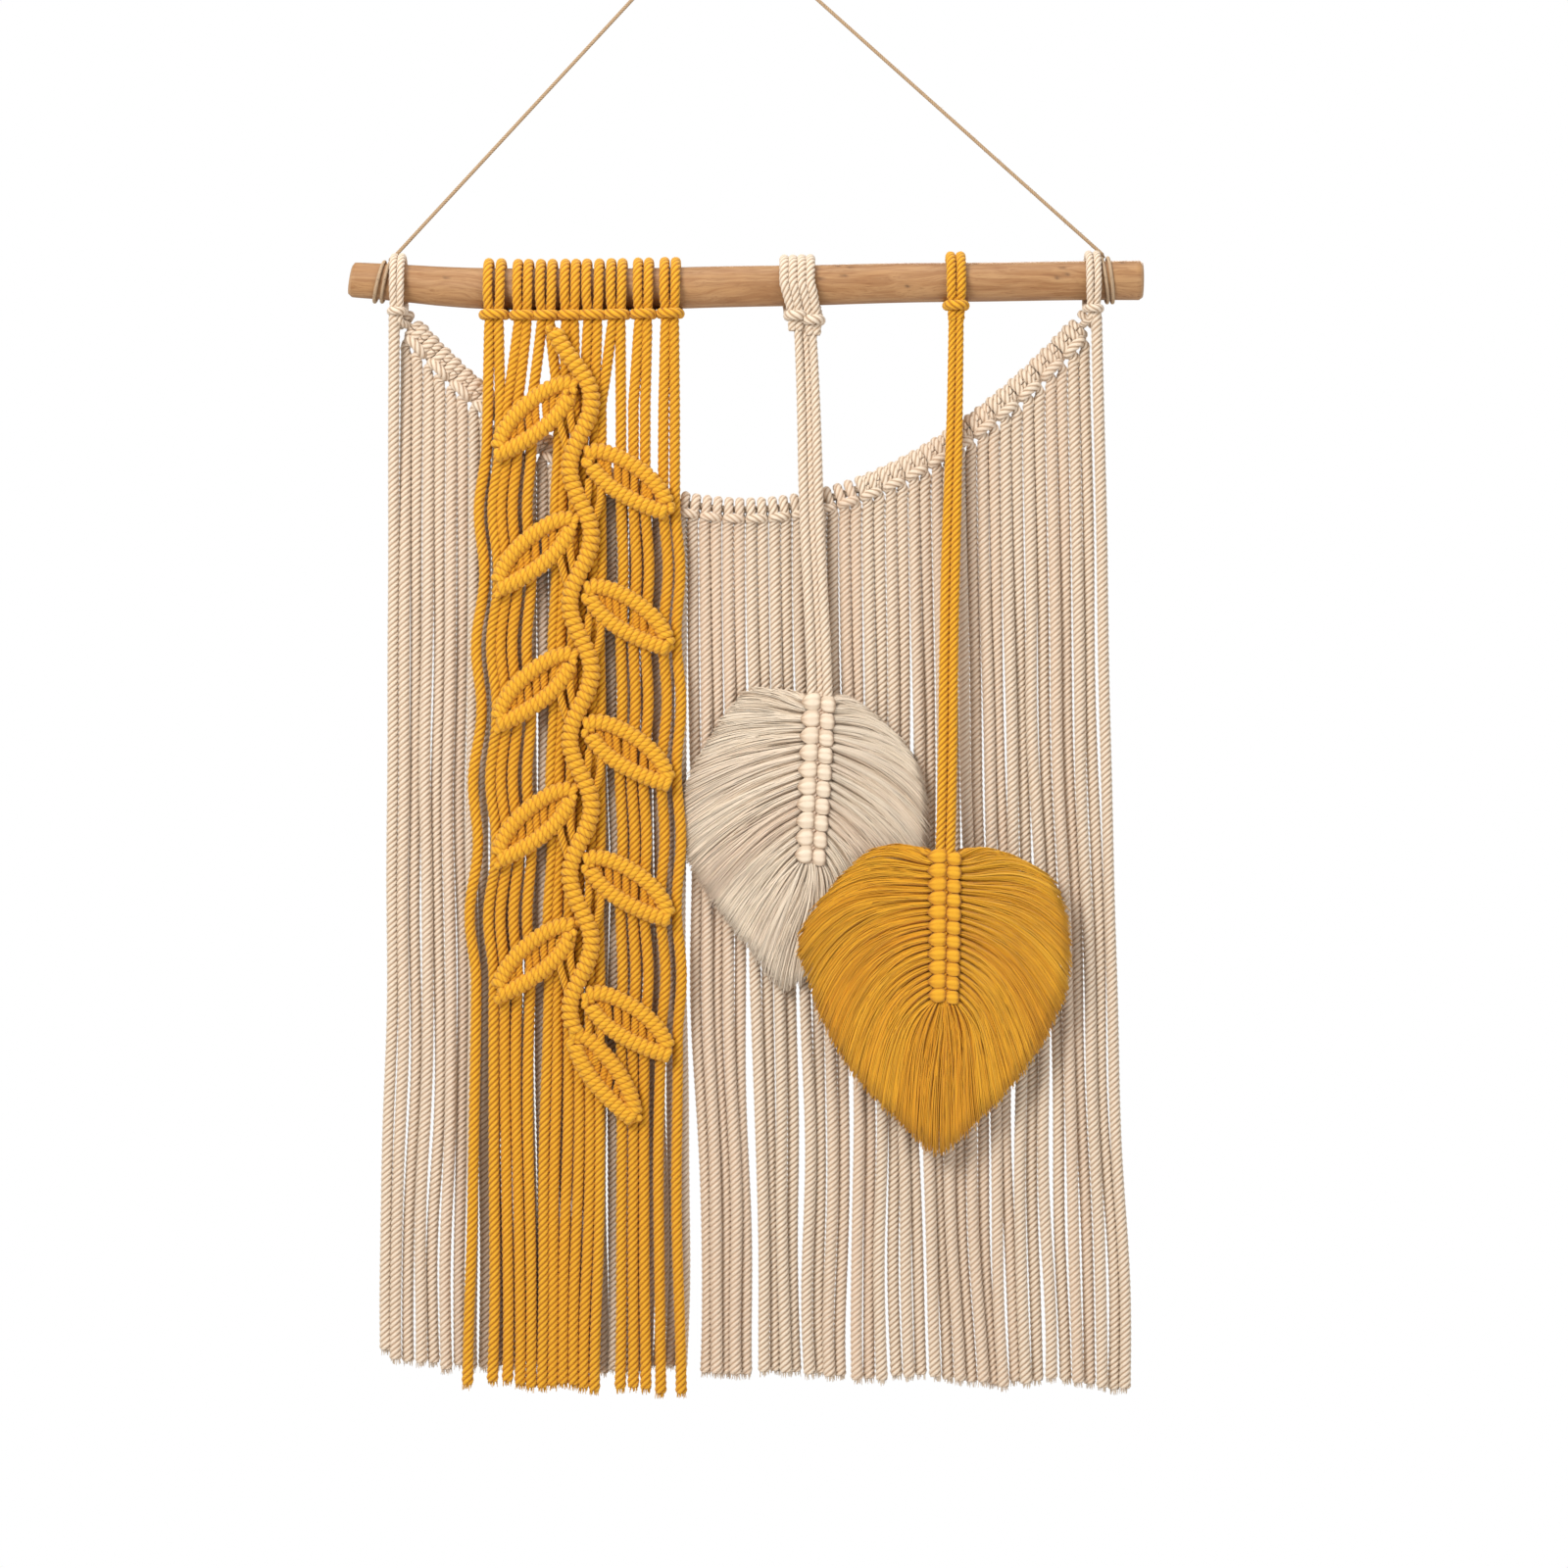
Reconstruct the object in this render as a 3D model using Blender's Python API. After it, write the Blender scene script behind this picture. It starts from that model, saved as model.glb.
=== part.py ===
"""A knotted cotton wall hanging on a wooden rod: a fringed curtain on a curved carrier cord, a panel of gold
cords with a knotted vine, and two leaf pendants. Metres, +Z up, the viewer at -Y and the wall at +Y. The
origin is the point where the hanging twine lies over its nail."""

import math

import bmesh
import bpy
from mathutils import Vector

# Driving dimensions
ROD_LENGTH = 0.400
ROD_RADIUS = 0.0106
ROD_TAPER = 0.0010
ROD_CHAMFER = 0.0016
ROD_DROP = 0.1885
HANG_POINT_FROM_LEFT = 0.1855
CORD = 0.0050
TWINE = 0.0020
GAP = 0.0003
LAYER_GAP = 0.0010

# Hanging twine
WRAP_WIDTH = 0.0066
WRAP_INSET = 0.0145
NAIL_RADIUS = 0.0030

# Curtain of white cords
FRINGE_DROP = 0.5550
CARRIER_SAG = 0.0935
LOOP_WIDTH = 0.0080
BUNDLES = 15
STRANDS_PER_BUNDLE = 4
LEFT_FLARE = -0.0045
RIGHT_FLARE = 0.0145

# Panel of gold cords with the vine
PANEL_CORDS = 8
PANEL_CENTRE = 0.1178
PANEL_PITCH_SLACK = 0.0025
PANEL_DROP = 0.5480
PANEL_FLARE = 0.0070
VINE_TOP = 0.0240
VINE_PERIOD = 0.0677
VINE_WAVES = 5
VINE_SWING = 0.0054
STEM_RADIUS = 0.0040
VINE_PHASE = 0.0418
STEM_TAIL = 0.0105
STEM_LEAN = 0.0080
STEM_LEAN_REACH = 0.0300
FIRST_LEFT_LEAF = 0.0530
FIRST_RIGHT_LEAF = 0.0875
LEFT_LEAF_ROOT = 0.0028
RIGHT_LEAF_ROOT = 0.0022
LEAF_HEIGHT = 0.0245
LEAF_THICKNESS = 0.0068
LEAF_SLIT = 0.0065
LEFT_LEAF_ANGLE = math.radians(213)
RIGHT_LEAF_ANGLE = math.radians(-26)
TIP_LEAF_ANGLE = math.radians(-46)
TIP_LEAF_SHIFT = -0.0010
TIP_LEAF_DROP = 0.0050
TIP_LEAF_SHARE = 0.96

# Leaf pendants. Each rim is listed from the top, as shares of the leaf's width and length
WHITE_LEAF_WIDTH = 0.1230
WHITE_LEAF_LENGTH = 0.1480
WHITE_LEAF_DROP = 0.2050
WHITE_SPINE_LENGTH = 0.0850
WHITE_SPINE_LEAN = -0.0045
WHITE_RING_SHIFT = -0.0075
WHITE_RING_WIDTH = 0.0172
WHITE_HANGER_WIDTH = 0.0105
WHITE_RING_STRANDS = 4
WHITE_LEAF_REACH = 0.562
GOLD_LEAF_WIDTH = 0.1335
GOLD_LEAF_LENGTH = 0.1507
GOLD_LEAF_DROP = 0.2830
GOLD_SPINE_LENGTH = 0.0760
GOLD_SPINE_LEAN = -0.0005
GOLD_RING_SHIFT = 0.0060
GOLD_RING_WIDTH = 0.0110
GOLD_HANGER_WIDTH = 0.0080
GOLD_RING_STRANDS = 2
LEAF_SPACING = 0.0625
SPINE_WIDTH = 0.0152
SPINE_DEPTH = 0.0095
FRINGE_THICKNESS = 0.0055
FRINGE_EDGE = 0.0022
SWAY_GAP = 0.0010
WHITE_LEFT_RIM = (
    (-0.075, 0.000), (-0.200, -0.010), (-0.310, 0.004), (-0.430, 0.130), (-0.535, 0.300),
    (-WHITE_LEAF_REACH, 0.440), (-0.520, 0.580), (-0.420, 0.710), (-0.290, 0.850), (-0.155, 0.985),
)
WHITE_RIGHT_RIM = (
    (0.075, 0.010), (0.150, 0.030), (0.270, 0.110), (0.380, 0.220), (0.430, 0.340),
    (0.435, 0.520), (0.360, 0.650), (0.220, 0.780), (0.050, 0.900), (-0.135, 1.000),
)
GOLD_LEFT_RIM = (
    (-0.070, 0.000), (-0.180, -0.005), (-0.290, 0.015), (-0.430, 0.140), (-0.540, 0.300),
    (-0.500, 0.450), (-0.420, 0.620), (-0.310, 0.760), (-0.170, 0.890), (-0.045, 0.995),
)
GOLD_RIGHT_RIM = (
    (0.070, 0.000), (0.200, 0.010), (0.380, 0.090), (0.440, 0.190), (0.462, 0.310),
    (0.450, 0.460), (0.370, 0.620), (0.250, 0.770), (0.110, 0.900), (-0.020, 1.000),
)

# Colours and finishes of the materials: base colour, roughness
WOOD = ((0.56, 0.34, 0.17), 0.55)
JUTE = ((0.58, 0.43, 0.27), 0.85)
WHITE_COTTON = ((0.78, 0.66, 0.51), 0.90)
GOLD_COTTON = ((0.76, 0.38, 0.03), 0.88)

# Places that follow from the sizes
ROD_MIDDLE = ROD_LENGTH / 2 - HANG_POINT_FROM_LEFT
ROD_LEFT = ROD_MIDDLE - ROD_LENGTH / 2
ROD_RIGHT = ROD_MIDDLE + ROD_LENGTH / 2
KNOT_RADIUS = CORD / 2 + GAP + 0.84 * CORD
RING_WALL = 0.88 * CORD
RING_RADIUS = ROD_RADIUS + GAP + RING_WALL
PANEL_Y = -(KNOT_RADIUS + LAYER_GAP + CORD / 2)
VINE_Y = PANEL_Y - CORD / 2 - GAP
WHITE_LEAF_BACK = -(KNOT_RADIUS + LAYER_GAP)
GOLD_LEAF_BACK = WHITE_LEAF_BACK - SPINE_DEPTH - LAYER_GAP
PANEL_PITCH = 2 * CORD + PANEL_PITCH_SLACK
LEAF_LENGTH = 3.92 * PANEL_PITCH
PANEL_MIDDLE = ROD_LEFT + PANEL_CENTRE
PANEL_RIGHT = PANEL_MIDDLE + PANEL_CORDS * PANEL_PITCH / 2
WHITE_LEAF_X = PANEL_RIGHT + WHITE_LEAF_REACH * WHITE_LEAF_WIDTH + GAP
GOLD_LEAF_X = WHITE_LEAF_X + LEAF_SPACING
LEFT_WRAP_X = ROD_LEFT + WRAP_INSET + WRAP_WIDTH / 2
RIGHT_WRAP_X = ROD_RIGHT - WRAP_INSET - WRAP_WIDTH / 2
LEFT_LOOP_X = LEFT_WRAP_X + WRAP_WIDTH / 2 + GAP + LOOP_WIDTH / 2
RIGHT_LOOP_X = RIGHT_WRAP_X - WRAP_WIDTH / 2 - GAP - LOOP_WIDTH / 2
RING_STEPS = 12


def clear_scene():
    for old in list(bpy.data.objects):
        bpy.data.objects.remove(old)


def material(name, look):
    colour, roughness = look
    made = bpy.data.materials.new(name)
    made.use_nodes = True
    shader = made.node_tree.nodes["Principled BSDF"]
    shader.inputs["Base Color"].default_value = (*colour, 1)
    shader.inputs["Roughness"].default_value = roughness
    shader.inputs["Metallic"].default_value = 0
    return made


def rod_radius(x):
    """The rod is thickest in its middle."""
    share = (x - ROD_MIDDLE) / (ROD_LENGTH / 2)
    return ROD_RADIUS - ROD_TAPER * share * share


def solid(name, bm, look, origin=(0, 0, 0)):
    """One object from a closed bmesh, with its origin moved to the given point."""
    bmesh.ops.recalc_face_normals(bm, faces=bm.faces)
    bmesh.ops.translate(bm, verts=bm.verts, vec=-Vector(origin))
    mesh = bpy.data.meshes.new(name)
    bm.to_mesh(mesh)
    bm.free()
    mesh.shade_smooth()
    mesh.set_sharp_from_angle(angle=math.radians(50))
    made = bpy.data.objects.new(name, mesh)
    made.location = origin
    made.data.materials.append(look)
    bpy.context.scene.collection.objects.link(made)
    return made


def skin(bm, sections, closed=False):
    """Joins sections of equal point count, each a loop of points, and closes the ends with caps."""
    loops = [[bm.verts.new(point) for point in section] for section in sections]
    pairs = list(zip(loops, loops[1:]))
    if closed:
        pairs.append((loops[-1], loops[0]))
    else:
        bm.faces.new(loops[0])
        bm.faces.new(reversed(loops[-1]))
    for first, second in pairs:
        for k in range(len(first)):
            after = (k + 1) % len(first)
            bm.faces.new((first[k], first[after], second[after], second[k]))
    return loops


def smooth_path(points, count):
    """Points at even steps of parameter along a Catmull-Rom curve through the given ones."""
    points = [Vector(point) for point in points]
    padded = [2 * points[0] - points[1], *points, 2 * points[-1] - points[-2]]
    path = []
    for k in range(count):
        place = k / (count - 1) * (len(points) - 1)
        i = min(int(place), len(points) - 2)
        t = place - i
        a, b, c, d = padded[i : i + 4]
        path.append(
            0.5
            * (2 * b + (c - a) * t + (2 * a - 5 * b + 4 * c - d) * t**2 + (3 * b - a - 3 * c + d) * t**3)
        )
    return path


def cord_tube(name, points, radius, look):
    """A cord as a curve object with a round bevel and filled caps."""
    curve = bpy.data.curves.new(name, "CURVE")
    curve.dimensions = "3D"
    curve.bevel_depth = radius
    curve.bevel_resolution = 2
    curve.use_fill_caps = True
    spline = curve.splines.new("POLY")
    spline.points.add(len(points) - 1)
    for place, point in zip(spline.points, points):
        place.co = (*point, 1)
    made = bpy.data.objects.new(name, curve)
    made.data.materials.append(look)
    bpy.context.scene.collection.objects.link(made)
    return made


def make_rod(look):
    """A turned stick with chamfered, flat ends."""
    stations = [(ROD_LEFT, ROD_CHAMFER)]
    steps = 10
    for k in range(steps + 1):
        stations.append((ROD_LEFT + ROD_CHAMFER + k * (ROD_LENGTH - 2 * ROD_CHAMFER) / steps, 0))
    stations.append((ROD_RIGHT, ROD_CHAMFER))
    sides = 20
    sections = []
    for x, cut in stations:
        radius = rod_radius(x) - cut
        turns = [2 * math.pi * k / sides for k in range(sides)]
        sections.append([(x, radius * math.sin(a), -ROD_DROP + radius * math.cos(a)) for a in turns])
    bm = bmesh.new()
    skin(bm, sections)
    solid("rod", bm, look, (ROD_MIDDLE, 0, -ROD_DROP))


def make_twine(look):
    """The twine rises straight from each wrap and rounds the nail at the top."""
    foot_z = -ROD_DROP + ROD_RADIUS + 2 * TWINE
    top = TWINE / 2
    left = Vector((LEFT_WRAP_X - 0.0005, 0, foot_z))
    right = Vector((RIGHT_WRAP_X + 0.0005, 0, foot_z))
    shoulder = top - 0.0021
    crown = [Vector((-NAIL_RADIUS, 0, shoulder)), Vector((0, 0, top)), Vector((NAIL_RADIUS, 0, shoulder))]
    legs = 11
    route = [left.lerp(crown[0], k / legs) for k in range(legs)]
    route += crown
    route += [right.lerp(crown[2], k / legs) for k in reversed(range(legs))]
    cord_tube("hanging_twine", smooth_path(route, 2 * len(route) - 1), TWINE / 2, look)


def make_wrap(name, middle, look):
    """The turns of twine round the rod, as one band."""
    half = WRAP_WIDTH / 2
    steps = RING_STEPS + 4
    clear = max(rod_radius(middle - half), rod_radius(middle + half)) + GAP
    inner = clear / math.cos(math.pi / steps)
    sections = []
    for k in range(steps):
        turn = 2 * math.pi * k / steps
        side, up = math.sin(turn), math.cos(turn)
        outline = ((-half, inner), (-half, inner + 0.7 * TWINE), (0, inner + 0.95 * TWINE))
        outline += ((half, inner + 0.7 * TWINE), (half, inner))
        sections.append([(middle + x, r * side, -ROD_DROP + r * up) for x, r in outline])
    bm = bmesh.new()
    skin(bm, sections, closed=True)
    solid(name, bm, look, (middle, 0, -ROD_DROP))


def ring_profile(turn, bar):
    """How far a lark's head stands off the rod: a wrap all round, and the bar low at the front."""
    bar_turn = math.radians(-148)
    off = math.remainder(turn - bar_turn, 2 * math.pi)
    return bar * math.exp(-((off / 0.42) ** 2))


def make_ring(bm, middle, strands, width, bar):
    """A lark's head round the rod. It returns the edge loop at its foot, which the strands continue."""
    stations = [-width / 2 + k * width / (2 * strands) for k in range(2 * strands + 1)]
    turns = [2 * math.pi * (k + 0.5) / RING_STEPS for k in range(RING_STEPS)]
    inner = (ROD_RADIUS + GAP) / math.cos(math.pi / RING_STEPS)
    sections = []
    for turn in turns:
        side, up = math.sin(turn), math.cos(turn)
        lift = ring_profile(turn, bar)
        section = [(middle + stations[0], inner), (middle + stations[-1], inner)]
        for k, x in reversed(list(enumerate(stations))):
            valley = 0 if k % 2 else 0.16 * CORD
            section.append((middle + x, ROD_RADIUS + GAP + RING_WALL - valley + lift))
        sections.append([(x, r * side, -ROD_DROP + r * up) for x, r in section])
    return skin(bm, sections, closed=True)


def strand_section(x, y, z, strands, width, thickness):
    """The outline of side-by-side strands at one height: ridges over the strands, valleys between."""
    stations = [-width / 2 + k * width / (2 * strands) for k in range(2 * strands + 1)]
    front = []
    back = []
    for k, offset in enumerate(stations):
        half = thickness / 2 if k % 2 else thickness * 0.30
        front.append((x + offset, y - half, z))
        back.append((x + offset, y + half, z))
    return front + back[::-1]


def strand_face(loops, y):
    """The two neighbouring sections of a ring whose face points most nearly down at the given depth."""
    def miss(k):
        near, far = loops[k][2].co, loops[(k + 1) % RING_STEPS][2].co
        return abs(near.y + far.y - 2 * y) + 2 * (near.z + ROD_DROP)

    foot = min(range(RING_STEPS), key=miss)
    pair = loops[foot], loops[(foot + 1) % RING_STEPS]
    return sorted(pair, key=lambda loop: loop[2].co.y)


def ring_with_strands(name, middle, strands, width, bar, route, look):
    """One folded cord: its lark's head round the rod, and its strands hanging from there along the route."""
    bm = bmesh.new()
    loops = make_ring(bm, middle, strands, width, bar)
    ahead, behind = strand_face(loops, route[0][1])
    front, back = ahead[2:], behind[2:]
    for k in range(len(front) - 1):
        face = bm.faces.get((front[k], front[k + 1], back[k + 1], back[k]))
        bm.faces.remove(face)
    upper = list(reversed(front)) + back
    for x, y, z, spread in route:
        section = strand_section(x, y, z, strands, spread, CORD)
        lower = [bm.verts.new(point) for point in section]
        for k in range(len(upper)):
            after = (k + 1) % len(upper)
            bm.faces.new((upper[k], upper[after], lower[after], lower[k]))
        upper = lower
    bm.faces.new(upper)
    return solid(name, bm, look, (middle, 0, -ROD_DROP))


def make_panel(look):
    """Eight folded gold cords side by side, each with a lark's head on the rod."""
    for k in range(PANEL_CORDS):
        place = k - (PANEL_CORDS - 1) / 2
        middle = PANEL_MIDDLE + place * PANEL_PITCH
        flare = PANEL_FLARE * place / ((PANEL_CORDS - 1) / 2)
        width = PANEL_PITCH - 2 * GAP
        uneven = 0.004 * math.sin(2.3 * k)
        route = []
        for share in (0.0, 0.34, 0.67, 1.0):
            z = -ROD_DROP - RING_RADIUS - 0.0045 - share * (PANEL_DROP - RING_RADIUS - 0.0045 + uneven)
            narrow = width - (width - 2 * CORD) * min(1, 1.5 * share)
            route.append((middle + flare * share**3, PANEL_Y, z, narrow))
        name = f"gold_cord_{k + 1}"
        ring_with_strands(name, middle, 2, width, 0.8 * CORD, route, look)


def stem_x(z):
    """The stem waves from side to side as it goes down."""
    return PANEL_MIDDLE + VINE_SWING * math.sin(2 * math.pi * (-ROD_DROP - z - VINE_PHASE) / VINE_PERIOD)


def make_stem(look):
    top = -ROD_DROP - VINE_TOP
    length = VINE_WAVES * VINE_PERIOD + STEM_TAIL
    count = 40
    points = []
    for k in range(count):
        z = top - length * k / (count - 1)
        near = max(0.0, 1 - (top - z) / STEM_LEAN_REACH)
        points.append((stem_x(z) - STEM_LEAN * near**1.5, VINE_Y - STEM_RADIUS, z))
    cord_tube("vine_stem", points, STEM_RADIUS, look)
    return top - length


def leaf_ring(name, root, angle, length, look):
    """A leaf of two hitched rows that meet at both ends, with the slit between them."""
    bm = bmesh.new()
    along = Vector((math.cos(angle), 0, math.sin(angle)))
    lean = math.copysign(1, along.x)
    across = Vector((-0.25 * along.z * lean, 0, 1)).normalized()
    middle = Vector(root) + along * (length / 2)
    steps = 14
    sections = []
    for k in range(steps):
        turn = 2 * math.pi * (k + 0.5) / steps
        reach = math.copysign(abs(math.cos(turn)) ** 0.75, math.cos(turn))
        rise = math.copysign(abs(math.sin(turn)) ** 0.75, math.sin(turn))
        rim = along * (length / 2 * reach) + across * (LEAF_HEIGHT / 2 * rise)
        slit = along * (length * 0.36 * reach) + across * (LEAF_SLIT / 2 * rise)
        section = []
        for share, depth in ((0, 0), (0.25, 0.43), (0.75, 0.43), (1, 0), (0.75, -0.43), (0.25, -0.43)):
            point = middle + rim.lerp(slit, share)
            point.y += depth * LEAF_THICKNESS
            section.append(point)
        sections.append(section)
    skin(bm, sections, closed=True)
    solid(name, bm, look, middle)


def make_vine(look):
    end = make_stem(look)
    y = VINE_Y - 0.43 * LEAF_THICKNESS
    first_left = -ROD_DROP - FIRST_LEFT_LEAF
    first_right = -ROD_DROP - FIRST_RIGHT_LEAF
    reach = STEM_RADIUS + GAP
    for k in range(VINE_WAVES):
        z = first_left - k * VINE_PERIOD
        root = (stem_x(z) - reach - LEFT_LEAF_ROOT, y, z)
        leaf_ring(f"vine_leaf_left_{k + 1}", root, LEFT_LEAF_ANGLE, LEAF_LENGTH, look)
    for k in range(VINE_WAVES):
        z = first_right - k * VINE_PERIOD
        root = (stem_x(z) + reach + RIGHT_LEAF_ROOT, y, z)
        leaf_ring(f"vine_leaf_right_{k + 1}", root, RIGHT_LEAF_ANGLE, LEAF_LENGTH, look)
    tip = (stem_x(end) + TIP_LEAF_SHIFT, y, end - TIP_LEAF_DROP - GAP)
    leaf_ring("vine_leaf_tip", tip, TIP_LEAF_ANGLE, TIP_LEAF_SHARE * LEAF_LENGTH, look)


def carrier_ends():
    """The carrier cord runs between the inner edges of its two loops, just under them."""
    inset = LOOP_WIDTH / 2 + 0.35 * CORD
    return LEFT_LOOP_X + inset, RIGHT_LOOP_X - inset


def carrier_z(x):
    left, right = carrier_ends()
    share = (2 * x - left - right) / (right - left)
    top = -ROD_DROP - RING_RADIUS - CORD / 2 - 3 * GAP
    return top - CARRIER_SAG * (1 - share * share)


def carrier_slope(x):
    step = 0.0005
    return (carrier_z(x + step) - carrier_z(x - step)) / (2 * step)


def make_carrier(look):
    left, right = carrier_ends()
    count = 36
    points = []
    for k in range(count):
        x = left + (right - left) * k / (count - 1)
        points.append((x, 0, carrier_z(x)))
    cord_tube("carrier_cord", points, CORD / 2, look)


def curtain_hem():
    """The left and right edges of the curtain at its lower end, a little wider than at the rod."""
    left = LEFT_LOOP_X - LOOP_WIDTH / 2 + LEFT_FLARE
    right = RIGHT_LOOP_X + LOOP_WIDTH / 2 + RIGHT_FLARE
    return left, right


def make_loop(name, middle, outward, look):
    """A carrier loop on the rod, with its two tail strands at the outer edge of the curtain."""
    edge = middle + outward * LOOP_WIDTH / 2
    hem = curtain_hem()[0 if outward < 0 else 1]
    route = []
    for share, cords in ((0.03, 1), (0.12, 1.2), (0.35, 2), (0.67, 2), (1.0, 2)):
        width = cords * CORD
        x = edge + (hem - edge) * share**2 - outward * width / 2
        route.append((x, 0, -ROD_DROP - RING_RADIUS - share * (FRINGE_DROP - RING_RADIUS - 0.006), width))
    ring_with_strands(name, middle, 1, LOOP_WIDTH, 0, route, look)


def first_knot_depth():
    """The carrier's depth below the rod at which a knot ring clears the rod."""
    return ROD_RADIUS + 1.75 * KNOT_RADIUS + LAYER_GAP


def bundle_span():
    """The stretch of the carrier that holds the knots, between the points where they clear the rod."""
    left, right = carrier_ends()
    top = -ROD_DROP - RING_RADIUS - CORD / 2 - 3 * GAP
    need = -ROD_DROP - first_knot_depth()
    share = math.sqrt(1 - (top - need) / CARRIER_SAG)
    middle, half = (left + right) / 2, (right - left) / 2
    return middle - share * half, middle + share * half


def make_bundle(name, start, end, hem, drop, look):
    """Two folded cords: the lark's heads round the carrier, and four strands."""
    bm = bmesh.new()
    count = STRANDS_PER_BUNDLE + 1
    stations = [start + (end - start) * k / (count - 1) for k in range(count)]
    ring_steps = 8
    sections = []
    for k in range(ring_steps):
        turn = 2 * math.pi * (k + 0.5) / ring_steps
        side, up = math.sin(turn), math.cos(turn)
        outer, inner = [], []
        for x in stations:
            steep = math.sqrt(1 + carrier_slope(x) ** 2)
            hole = (CORD / 2 + GAP) / math.cos(math.pi / ring_steps)
            z = carrier_z(x)
            outer.append((x, KNOT_RADIUS * side, z + KNOT_RADIUS * steep * up))
            inner.append((x, hole * side, z + hole * steep * up))
        sections.append(inner + outer[::-1])
    loops = skin(bm, sections, closed=True)
    low = ring_steps // 2 - 1
    behind, ahead = loops[low][count:][::-1], loops[low + 1][count:][::-1]
    for k in range(count - 1):
        bm.faces.remove(bm.faces.get((behind[k], behind[k + 1], ahead[k + 1], ahead[k])))
    upper = ahead + behind[::-1]
    middle = (start + end) / 2
    bottom = -ROD_DROP - drop
    width = min(STRANDS_PER_BUNDLE * CORD, end - start)
    for share in (0.06, 0.4, 0.7, 1.0):
        lower = []
        flare = (hem - middle) * share**2
        for k in range(len(upper)):
            across = k if k < count else 2 * count - 1 - k
            x_top = stations[across]
            x_low = middle + (across / (count - 1) - 0.5) * width
            x = x_top + (x_low - x_top) * share + flare
            z_top = carrier_z(x_top) - 1.25 * KNOT_RADIUS * math.sqrt(1 + carrier_slope(x_top) ** 2)
            y = (-CORD / 2 if k < count else CORD / 2) * (0.92 if across % 2 else 1)
            lower.append(bm.verts.new((x, y, z_top + (bottom - z_top) * (share - 0.06) / 0.94)))
        for k in range(len(upper)):
            after = (k + 1) % len(upper)
            bm.faces.new((upper[k], upper[after], lower[after], lower[k]))
        upper = lower
    bm.faces.new(upper)
    solid(name, bm, look, (middle, 0, carrier_z(middle)))


def make_curtain(look):
    make_carrier(look)
    make_loop("carrier_loop_left", LEFT_LOOP_X, -1, look)
    make_loop("carrier_loop_right", RIGHT_LOOP_X, 1, look)
    left, right = bundle_span()
    pitch = (right - left) / BUNDLES
    hem_left, hem_right = curtain_hem()
    hem_pitch = (hem_right - hem_left - 4 * CORD) / BUNDLES
    for k in range(BUNDLES):
        start = left + k * pitch + GAP / 2
        hem = hem_left + 2 * CORD + (k + 0.5) * hem_pitch
        uneven = 0.0035 * math.sin(1.9 * k + 0.6) + 0.004 * k / BUNDLES
        drop = FRINGE_DROP - 0.007 + uneven
        make_bundle(f"curtain_bundle_{k + 1:02d}", start, start + pitch - GAP, hem, drop, look)


def spine_point(top, lean, length, share):
    return Vector((top[0] + lean * share, top[1], top[2] - length * share))


def make_spine(name, top, lean, length, depth, look):
    """The column of square knots down the middle of a leaf."""
    sections = []
    steps = 6
    for k in range(steps + 1):
        share = k / steps
        x, _, z = spine_point(top, lean, length, share)
        half = SPINE_WIDTH / 2 * (1 - 0.25 * share**3)
        back, front = top[1], top[1] - depth
        rim = 0.3 * depth
        outline = ((-half, back - rim), (-half * 0.55, back), (half * 0.55, back), (half, back - rim))
        outline += ((half, front + rim), (half * 0.55, front), (-half * 0.55, front), (-half, front + rim))
        sections.append([(x + dx, y, z) for dx, y in outline])
    bm = bmesh.new()
    skin(bm, sections)
    solid(name, bm, look, top)


def make_fringe(name, top, size, side, spine, outline, look):
    """Half of a leaf's combed fringe: from the spine's edge out to the outline, thinning towards the rim."""
    width, length = size
    lean, spine_length = spine
    count = 11
    rim = smooth_path([(u * width, 0, -v * length) for u, v in outline], count)
    tip = rim[-1]
    inner = []
    for k in range(count):
        share = k / (count - 1)
        if share < 0.6:
            down = share / 0.6
            x = lean * down + side * (SPINE_WIDTH / 2 + GAP)
            inner.append(Vector((x, 0, -spine_length * down - 0.0012)))
        else:
            down = (share - 0.6) / 0.4
            start = Vector((lean + side * (SPINE_WIDTH / 2 + GAP), 0, -spine_length - 0.0012))
            foot = Vector((lean + side * GAP, 0, -spine_length - 0.0050))
            inner.append(start.lerp(foot, min(1, down * 2.5)).lerp(tip, max(0, down - 0.25) / 0.75 * 0.97))
    sections = []
    for near, far in zip(inner, rim):
        middle = near.lerp(far, 0.6)
        section = []
        for point, half in ((near, 0.5), (middle, 0.46), (far, 0.5 * FRINGE_EDGE / FRINGE_THICKNESS)):
            section.append(Vector(top) + point + Vector((0, -FRINGE_THICKNESS * (0.5 + half), 0)))
        for point, half in ((far, 0.5 * FRINGE_EDGE / FRINGE_THICKNESS), (middle, 0.46), (near, 0.5)):
            section.append(Vector(top) + point + Vector((0, -FRINGE_THICKNESS * (0.5 - half), 0)))
        sections.append(section)
    bm = bmesh.new()
    skin(bm, sections)
    solid(name, bm, look, top)


def make_hanger(name, start, end, strands, width, look):
    """The strands between a pendant's lark's head and its leaf."""
    sections = []
    steps = 6
    for k in range(steps + 1):
        share = k / steps
        point = Vector(start).lerp(Vector(end), share)
        narrow = width * (1 - 0.12 * math.sin(math.pi * share))
        sections.append(strand_section(*point, strands, narrow, CORD))
    bm = bmesh.new()
    skin(bm, sections)
    solid(name, bm, look, start)


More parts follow.
